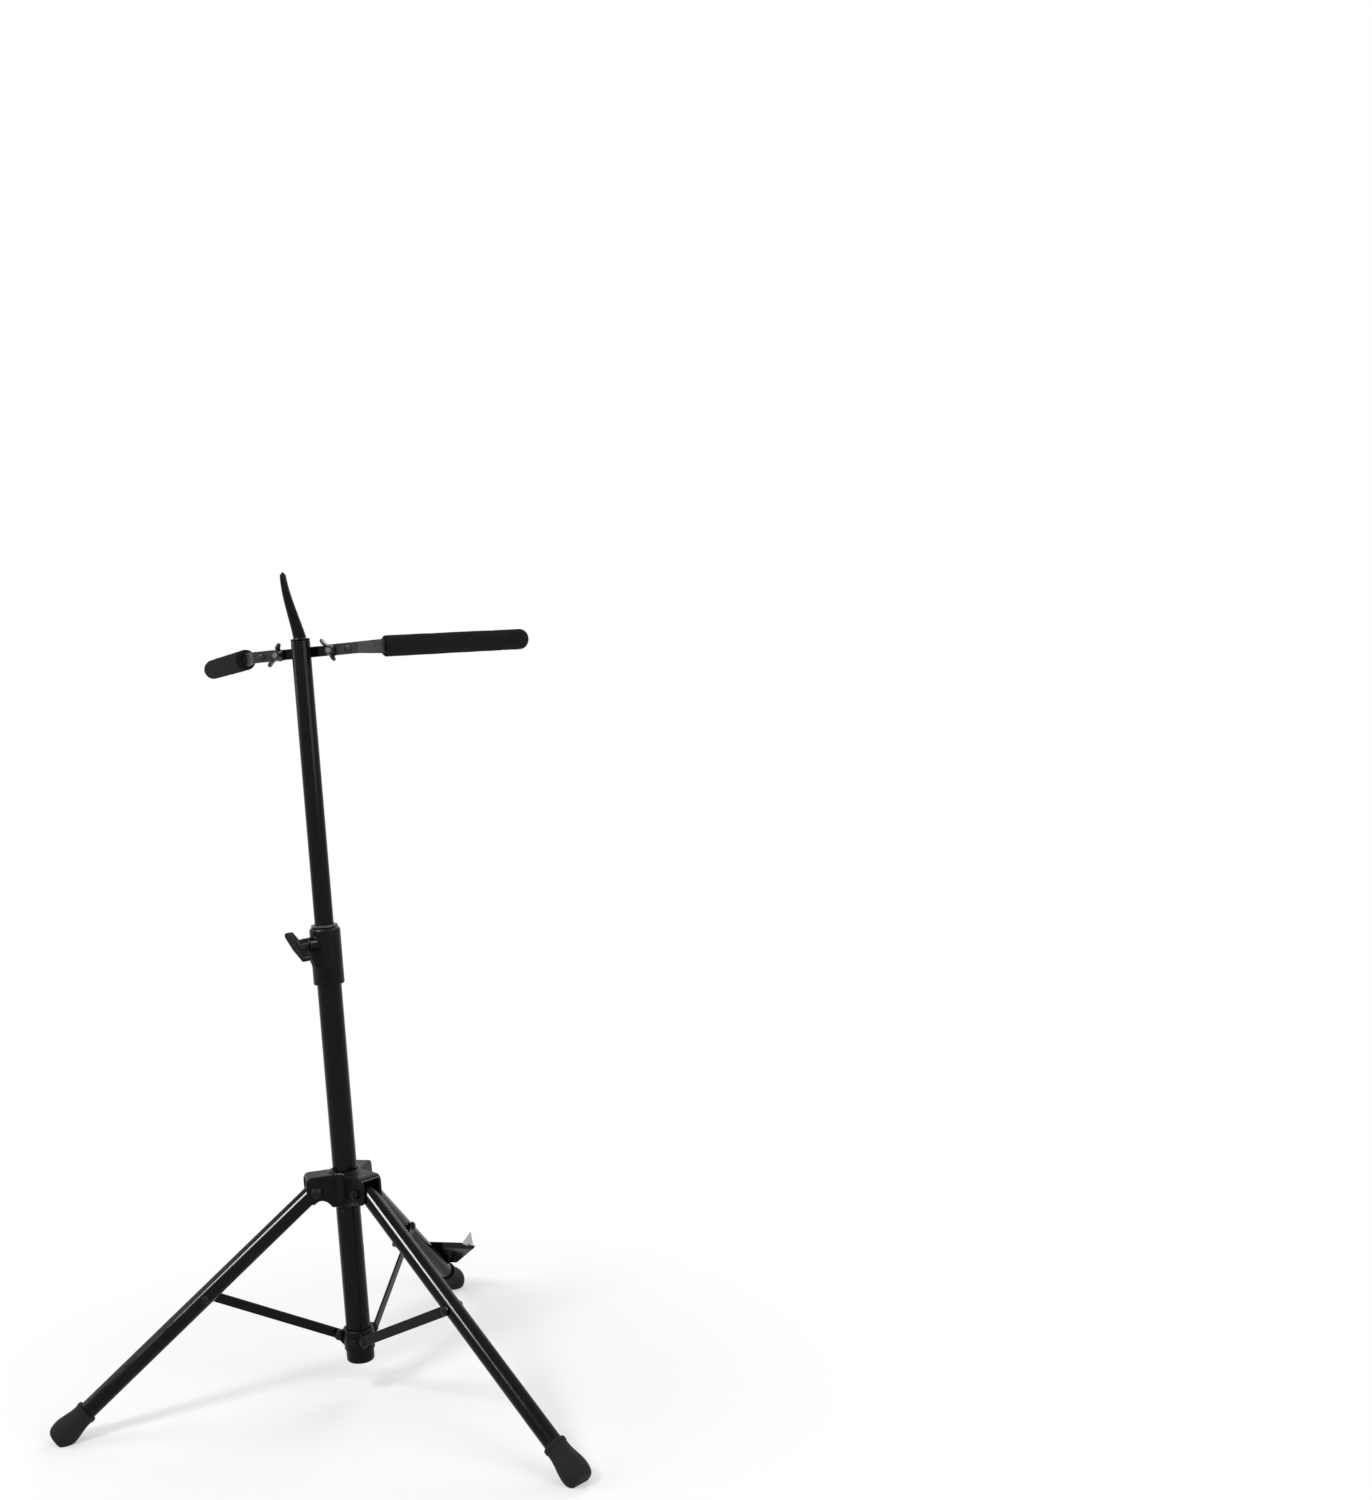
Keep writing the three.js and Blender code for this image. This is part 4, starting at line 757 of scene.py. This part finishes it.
# Clamp collar: a moulded collar that grips the top of the lower tube and carries the clamp
# screw in a boss, with a web below the boss.
COLLAR = {"radius": 17.7, "bottom": 471.3, "top": 536.3, "rounding": 4, "foot_edge": 0.8}
LOWER_BORE = {"radius": 14.3, "low": 460, "high": 505.6}
UPPER_BORE = {"radius": 13.4, "low": 500, "high": 545}
SCREW_BORE = {"radius": 3.3, "low": 0, "high": 40}
BOSS = {"angle": 60, "height": 519.3, "radius": 8, "root": 12, "reach": 28, "edge": 1}
WEB = {"root": 14, "half": 4, "drop": 21, "into_boss": 2}
COLLAR_SKIN = 0.6
BOSS_STEPS = 64
BOSS_EDGE_STEPS = 4
collar_profile = [
    (0, COLLAR["bottom"]), (COLLAR["radius"] - COLLAR["foot_edge"], COLLAR["bottom"]),
    (COLLAR["radius"], COLLAR["bottom"] + COLLAR["foot_edge"])]
collar_profile += arc(COLLAR["radius"] - COLLAR["rounding"], COLLAR["top"] - COLLAR["rounding"],
                      COLLAR["rounding"], 0, 90)
collar_profile += [(0, COLLAR["top"])]
clamp_axis = around(BOSS["angle"]) @ shift(z=BOSS["height"])
boss_face = BOSS["reach"] - BOSS["edge"]
web_foot = -BOSS["radius"] - WEB["drop"]
boss_profile = [(0, BOSS["root"]), (BOSS["radius"], BOSS["root"])]
boss_profile += arc(
    BOSS["radius"] - BOSS["edge"], boss_face, BOSS["edge"], 0, 90, BOSS_EDGE_STEPS)
boss_profile += [(0, BOSS["reach"])]
web_outline = [
    (WEB["root"], 0), (boss_face, 0), (boss_face, -BOSS["radius"] + WEB["into_boss"]),
    (COLLAR["radius"], web_foot), (WEB["root"], web_foot)]
collar_steps = [
    (placed(turned(boss_profile, BOSS_STEPS), clamp_axis, ALONG_X), "UNION"),
    (placed(upright(web_outline, -WEB["half"], WEB["half"]), clamp_axis), "UNION"),
    (rod(**LOWER_BORE), "DIFFERENCE"),
    (rod(**UPPER_BORE), "DIFFERENCE"),
    (placed(rod(**SCREW_BORE, steps=PIN_STEPS), clamp_axis, ALONG_X), "DIFFERENCE"),
]
piece("clamp_collar", placed(formed(turned(collar_profile), collar_steps, COLLAR_SKIN), MAST),
      "base", plastic, "matt_black_plastic")

# Tube liner: a nylon sleeve inside the collar that the upper tube slides in. Its flange
# shows as a thin ring on top.
LINER = {"inner": 11.3, "outer": 13.1, "flange": 15.3, "bottom": 505.9, "seat": 536.6,
         "top": 539}
LINER_EDGE = 0.5

# Nylon: cast dark grey right through, with a waxy skin whose gloss comes and goes over
# some 6 mm.
nylon = new_finish("dark_cast_nylon", "#303132", {"Roughness": 0.42, "IOR": 1.53})
dulled(nylon, pattern(nylon, Scale=180, Detail=3), 0.3, 0.52)

liner_profile = [
    (LINER["inner"], LINER["bottom"]), (LINER["outer"], LINER["bottom"]),
    (LINER["outer"], LINER["seat"]), (LINER["flange"], LINER["seat"]),
    (LINER["flange"], LINER["top"]), (LINER["inner"], LINER["top"])]
piece("tube_liner", placed(turned(liner_profile), MAST),
      "base", nylon, "dark_nylon", edge=LINER_EDGE)


def dress(node, finish):
    """Gives a CAD node that is shown as it is its finish."""
    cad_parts[node].data.materials.clear()
    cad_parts[node].data.materials.append(finish)


dress("clamp_shoe", nylon)
dress("guide_bush", nylon)

# Clamp screw: a zinc plated screw through the boss. Its thread shows between the boss and
# the knob.
CLAMP_SCREW = {"from": 17.6, "to": 38.6, "radius": 3, "pitch": 1, "depth": 0.35}

# Zinc plate: pale metal with the soft mottle of the plating bath, about 4 mm across, and
# brighter than the greyed steel near it.
zinc = new_finish("zinc_plated_steel", "#6f7070", {"Metallic": 1, "Roughness": 0.32})
bath = pattern(zinc, Scale=260, Detail=4)
dulled(zinc, bath, 0.24, 0.46)
tinted(zinc, bath, "#5c5d5e", "#828383")

root = CLAMP_SCREW["radius"] - CLAMP_SCREW["depth"]
thread = [(0, CLAMP_SCREW["from"])]
for turn in range(int((CLAMP_SCREW["to"] - CLAMP_SCREW["from"]) / CLAMP_SCREW["pitch"])):
    start = CLAMP_SCREW["from"] + turn * CLAMP_SCREW["pitch"]
    thread += [(root, start), (CLAMP_SCREW["radius"], start + CLAMP_SCREW["pitch"] / 2)]
thread += [(root, CLAMP_SCREW["to"]), (0, CLAMP_SCREW["to"])]
piece("clamp_screw", placed(turned(thread, PIN_STEPS), MAST, clamp_axis, ALONG_X),
      "clamp_screw", zinc, "zinc_steel")

# Clamp knob: a moulded T bar, thick in the middle and rounded at its tips, on a round hub
# that takes the end of the clamp screw.
KNOB = {"face": 29.6, "hub": 8.2, "taper": 1, "bar_from": 35.3, "depth": 9, "hub_sunk": 4,
        "half": 22, "waist": 5, "tip": 3.5, "tip_turn": 80, "tilt": 139}
KNOB_BORE = {"radius": 3.3, "low": 20, "high": 38.9}
KNOB_STEPS = 64
KNOB_TIP_STEPS = 10
KNOB_SKIN = 0.45
KNOB_PASSES = 8
KNOB_TURN = 90
tip_at, tip_turn = KNOB["half"] - KNOB["tip"], KNOB["tip_turn"]
grip_outline = [(0, KNOB["waist"])]
grip_outline += arc(tip_at, 0, KNOB["tip"], tip_turn, -tip_turn, KNOB_TIP_STEPS)
grip_outline += [(0, -KNOB["waist"])]
grip_outline += arc(-tip_at, 0, KNOB["tip"], 180 + tip_turn, 180 - tip_turn, KNOB_TIP_STEPS)
bar_to = KNOB["bar_from"] + KNOB["depth"]
hub_to = bar_to - KNOB["hub_sunk"]
knob_hub = turned([(0, KNOB["face"]), (KNOB["hub"], KNOB["face"]),
                   (KNOB["hub"] - KNOB["taper"], hub_to), (0, hub_to)], KNOB_STEPS)
knob_shape = formed(knob_hub, [
    (placed(plate(grip_outline, KNOB["bar_from"], bar_to), around(KNOB["tilt"])), "UNION"),
    (rod(**KNOB_BORE, steps=PIN_STEPS), "DIFFERENCE")], KNOB_SKIN, KNOB_PASSES)
piece("clamp_knob", placed(knob_shape, MAST, clamp_axis, ALONG_X, around(KNOB_TURN)),
      "clamp_screw", plastic, "matt_black_plastic")

# Upper tube: 22 mm enamelled steel tube with a 1.5 mm wall that slides out of the lower
# one through the liner.
UPPER_TUBE = {"outer": 11, "inner": 9.5, "low": 345.5, "high": 862}
piece("upper_tube", placed(tube_shape(**UPPER_TUBE), MAST),
      "mast", enamel, "gloss_black_paint", edge=TUBE_DEBURR)

# Holder: a moulded plug in the tube's mouth with a horn that leans back, tapers and ends
# in a round tip.
HOLDER = {"plug": 9.2, "plug_bottom": 842.3, "flange": 11, "seat": 862.3, "top": 864.7}
HORN = {"height": 74, "lean": 34, "base": 8.6, "tip": 3.8, "flat": 0.86, "rounding": 4,
        "least": 0.02, "sunk": 0.3}
HORN_LEVELS = 24
HORN_SIDES = 32
HORN_SKIN = 0.45
HORN_PASSES = 5
horn = bmesh.new()
circle = bmesh.ops.create_circle(horn, cap_ends=True, segments=HORN_SIDES, radius=1)["verts"]
last = None
for level in range(HORN_LEVELS + 1):
    share = level / HORN_LEVELS
    from_tip = (1 - share) * HORN["height"]
    round_off = 1
    if from_tip < HORN["rounding"]:
        round_off = math.sqrt(max(1 - (1 - from_tip / HORN["rounding"]) ** 2, HORN["least"]))
    width = (HORN["base"] + (HORN["tip"] - HORN["base"]) * share) * round_off
    lean = HORN["lean"] * (1 - (1 - share) ** 2) * share + HORN["lean"] * share * (1 - share)
    goal = (shift(0, lean, HOLDER["top"] - HORN["sunk"] + share * HORN["height"])
            @ Matrix.Diagonal((width * HORN["flat"], width, 1, 1)))
    if last is not None:
        top = [face for face in horn.faces if all(v in circle for v in face.verts)]
        grown = bmesh.ops.extrude_face_region(horn, geom=top)
        bmesh.ops.delete(horn, geom=top, context="FACES_ONLY")
        circle = [v for v in grown["geom"] if isinstance(v, bmesh.types.BMVert)]
        bmesh.ops.transform(horn, matrix=goal @ last.inverted(), verts=circle)
    else:
        bmesh.ops.transform(horn, matrix=goal, verts=circle)
    last = goal
holes = [edge for edge in horn.edges if edge.is_boundary]
bmesh.ops.holes_fill(horn, edges=holes)
bmesh.ops.recalc_face_normals(horn, faces=horn.faces)
plug = turned([
    (0, HOLDER["plug_bottom"]), (HOLDER["plug"], HOLDER["plug_bottom"]),
    (HOLDER["plug"], HOLDER["seat"]), (HOLDER["flange"], HOLDER["seat"]),
    (HOLDER["flange"], HOLDER["top"]), (0, HOLDER["top"])])
piece("bow_holder", placed(formed(plug, [(horn, "UNION")], HORN_SKIN, HORN_PASSES), MAST),
      "mast", plastic, "matt_black_plastic")

# Cross bar: a flat bar with round ends across the front of the upper tube, enamelled. It
# carries both arms.
CROSS_BAR = {"height": 849, "half": 6, "reach": 54, "near": -14.3, "far": -11.3}
BAR_EDGE = 0.5
bar_outline = arc(CROSS_BAR["reach"], 0, CROSS_BAR["half"], -90, 90, BAR_END_STEPS)
bar_outline += arc(-CROSS_BAR["reach"], 0, CROSS_BAR["half"], 90, 270, BAR_END_STEPS)
at_bar = MAST @ shift(z=CROSS_BAR["height"])
piece("cross_bar", placed(upright(bar_outline, CROSS_BAR["near"], CROSS_BAR["far"]), at_bar),
      "mast", enamel, "gloss_black_paint", edge=BAR_EDGE)

# Arms: each strap is 3 mm steel, bent forward in plan and flared at its end. Its inner end
# is a fork, open below, that the wing bolt locks, and it turns on a round rivet.
STRAP = {"front": -11, "rear": -8, "half": 6.5, "end_half": 8.5, "bend": 65, "spread": 52,
         "forward": 36.5, "radius": 3, "pivot": 54, "bolt": 33, "slot": 3.3}
STRAP_BLANK = {"inner": 12, "outer": 2, "half": 20, "near": -60, "far": 0}
SLOT_CUT = {"near": -14, "far": -6}
BEND_ARC_STEPS = 10
SLOT_STEPS = 8
SLOT_END_STEPS = 12
STRAP_EDGE = 0.4
ARM_RIVET = {"start": 7.7, "seat": 14.6}
spread = math.radians(STRAP["spread"])
ahead = Vector((math.cos(spread), -math.sin(spread)))
inward = Vector((-math.sin(spread), -math.cos(spread)))
half_sheet = (STRAP["rear"] - STRAP["front"]) / 2
middle = (STRAP["front"] + STRAP["rear"]) / 2
tangent = (STRAP["radius"] + half_sheet) * math.tan(spread / 2)
bend_centre = (STRAP["bend"] - tangent, middle - STRAP["radius"] - half_sheet)
tip = Vector((STRAP["bend"], middle)) + ahead * STRAP["forward"]

# Greyed steel: passivated steel, dark grey with cloudy patches some 8 mm wide and fine
# rubbing marks, duller than plating.
steel = new_finish("greyed_passivated_steel", "#343536", {"Metallic": 1, "Roughness": 0.42})
clouds = pattern(steel, Scale=130, Detail=6, Roughness=0.6)
rubbed = pattern(steel, Scale=900, Detail=2)
tinted(steel, clouds, "#232424", "#444546")
dulled(steel, clouds, 0.32, 0.55)
raised(steel, rubbed, 0.2, 0.00003)


def handed(shape, side):
    """The shape for one side of the stand, mirrored where the side is -1."""
    if side < 0:
        bmesh.ops.scale(shape, vec=(-1, 1, 1), verts=shape.verts)
        bmesh.ops.reverse_faces(shape, faces=shape.faces)
    return shape


def strap_shape():
    """The strap's bend in plan, kept within its flared side view, with the fork's slot cut."""
    pivot, bolt, half, slot = STRAP["pivot"], STRAP["bolt"], STRAP["half"], STRAP["slot"]
    outer_turn, inner_turn = 90, 90 - STRAP["spread"]
    start, end = bolt - STRAP_BLANK["inner"], tip.x + STRAP_BLANK["outer"]
    plan = [(start, STRAP["rear"])]
    plan += arc(*bend_centre, STRAP["radius"] + 2 * half_sheet, outer_turn, inner_turn,
                BEND_ARC_STEPS)
    plan += [tuple(tip - inward * half_sheet), tuple(tip + inward * half_sheet)]
    plan += arc(*bend_centre, STRAP["radius"], inner_turn, outer_turn, BEND_ARC_STEPS)
    plan += [(start, STRAP["front"])]
    side_view = arc(bolt, 0, half, 90, 270, BAR_END_STEPS)
    side_view += [(STRAP["bend"], -half), (end, -STRAP["end_half"]), (end, STRAP["end_half"]),
                  (STRAP["bend"], half)]
    swing = pivot - bolt
    open_to = 180 + math.degrees(math.asin(2 * half / swing))
    slot_outline = arc(pivot, 0, swing + slot, 180, open_to, SLOT_STEPS)
    slot_outline += arc(pivot, 0, swing - slot, open_to, 180, SLOT_STEPS)
    slot_outline += arc(bolt, 0, slot, 0, 180, SLOT_END_STEPS)[1:-1]
    return formed(plate(plan, -STRAP_BLANK["half"], STRAP_BLANK["half"]), [
        (upright(side_view, STRAP_BLANK["near"], STRAP_BLANK["far"]), "INTERSECT"),
        (upright(slot_outline, **SLOT_CUT), "DIFFERENCE")])


# Wing bolts: zinc plated, with a domed head in front and a plain end behind, level with
# the wing nut. Wing nuts: cast and plated, gone grey, their wings swept up from the foot.
WING_BOLT = {"shank": 3, "start": -0.3, "seat": 14.6, "head": 7, "height": 3}
WING_NUT = {"hub": 6.8, "top": 4.8, "height": 8, "bore": 3.3, "span": 15, "thin": 1.3,
            "root": 6, "tip": 4.5, "tip_turn": 135, "lift": 9}
WING_NUT_TILT = math.radians(60)
WING_NUT_GAP = 0.3
WING_STEPS = 48
WING_TIP_STEPS = 14
WING_SKIN = 0.35
WING_PASSES = 3


def wing_nut_shape():
    nut = WING_NUT
    foot = turned([(0, 0), (nut["hub"], 0), (nut["top"], nut["height"]), (0, nut["height"])],
                  WING_STEPS)
    wing = [(0, 0), (nut["hub"], 0)]
    wing += arc(nut["span"] - nut["tip"], nut["lift"], nut["tip"], -90, nut["tip_turn"],
                WING_TIP_STEPS)
    wing += [(nut["top"], nut["root"]), (0, nut["root"])]
    bore = rod(nut["bore"], -CUT_PAST, nut["height"] + CUT_PAST, PIN_STEPS)
    whole = formed(placed(foot, ALONG_Y), [
        (plate(wing, -nut["thin"], nut["thin"]), "UNION"),
        (placed(plate(wing, -nut["thin"], nut["thin"]), Matrix.Rotation(math.pi, 4, "Y")), "UNION"),
        (placed(bore, ALONG_Y), "DIFFERENCE")], WING_SKIN, WING_PASSES)
    return placed(whole, Matrix.Rotation(WING_NUT_TILT, 4, "Y"))


# Foam sleeves: closed cell foam tube pushed over each arm's rod, cut square at the strap
# and rounded at the tip. The skin shows small cells and is drawn in a little, unevenly.
FOAM = {"radius": 12.5, "length": 200, "bore": 4.3, "depth": 186.3, "mouth": 1.5, "tip": 10}
FOAM_RINGS = 90
FOAM_STEPS = 72
MOUTH_STEPS = 4
TIP_STEPS = 10
FOAM_GAP = 0.3
FOAM_SEED = 7.3
FOAM_BORE_WALL = 1
UNEVEN = {"wide": 26, "wide_by": 0.28, "fine": 7, "fine_by": 0.1, "drawn_in": 0.25}
foam_finish = new_finish("closed_cell_foam", "#1c1b1b", {
    "Roughness": 0.95, "Specular IOR Level": 0.02, "Sheen Weight": 0.015,
    "Sheen Roughness": 0.5})
cells = pattern(foam_finish, "ShaderNodeTexVoronoi", Scale=900)
lumps = pattern(foam_finish, Scale=140, Detail=6, Roughness=0.7)
tinted(foam_finish, lumps, "#131212", "#242222")
raised(foam_finish, lumps, 0.4, 0.0006, over=raised(foam_finish, cells, 0.6, 0.0003))


def foam_shape(seed):
    """A sleeve along Z whose skin rises and sinks by two sizes of noise."""
    radius, length, bore = FOAM["radius"], FOAM["length"], FOAM["bore"]
    straight = length - FOAM["tip"] - FOAM["mouth"]
    profile = [(0, FOAM["depth"]), (bore, FOAM["depth"]), (bore, 0)]
    profile += arc(radius - FOAM["mouth"], FOAM["mouth"], FOAM["mouth"], -90, 0, MOUTH_STEPS)
    profile += [(radius, FOAM["mouth"] + straight * ring / FOAM_RINGS)
                for ring in range(1, FOAM_RINGS)]
    profile += arc(radius - FOAM["tip"], length - FOAM["tip"], FOAM["tip"], 0, 90, TIP_STEPS)
    profile += [(0, length)]
    shape = turned(profile, FOAM_STEPS)
    for vertex in shape.verts:
        if vertex.co.xy.length > bore + FOAM_BORE_WALL:
            wide = noise.noise(vertex.co / UNEVEN["wide"] + Vector((seed, 0, 0)))
            fine = noise.noise(vertex.co / UNEVEN["fine"] + Vector((0, seed, 0)))
            give = wide * UNEVEN["wide_by"] + fine * UNEVEN["fine_by"]
            vertex.co.xy *= 1 + (give - UNEVEN["drawn_in"]) / radius
    return shape


SIDES = {"right": 1, "left": -1}
foam_at = tip + ahead * FOAM_GAP
for name, side in SIDES.items():
    piece(f"arm_strap_{name}", placed(handed(strap_shape(), side), at_bar),
          f"arm_{name}", steel, "greyed_steel", edge=STRAP_EDGE)
    piece(f"arm_rivet_{name}", placed(
        two_headed(**ARM_RIVET), at_bar, shift(x=side * STRAP["pivot"])),
        "mast", steel, "greyed_steel")
    piece(f"wing_bolt_{name}", placed(
        domed_pin(**WING_BOLT), at_bar, shift(x=side * STRAP["bolt"]), AGAINST_Y),
        "mast", zinc, "zinc_steel")
    wing_nut = handed(placed(wing_nut_shape(), shift(x=STRAP["bolt"])), side)
    piece(f"wing_nut_{name}", placed(wing_nut, at_bar, shift(y=STRAP["rear"] + WING_NUT_GAP)),
          f"wing_nut_{name}", steel, "greyed_steel")
    sleeve = handed(placed(foam_shape(FOAM_SEED * side), shift(foam_at.x, foam_at.y),
                           around(-STRAP["spread"]), ALONG_X), side)
    sleeve_piece = piece(f"foam_sleeve_{name}", placed(sleeve, at_bar),
                         f"arm_{name}", foam_finish, "black_foam")
    dress(f"arm_rod_{name}", steel)
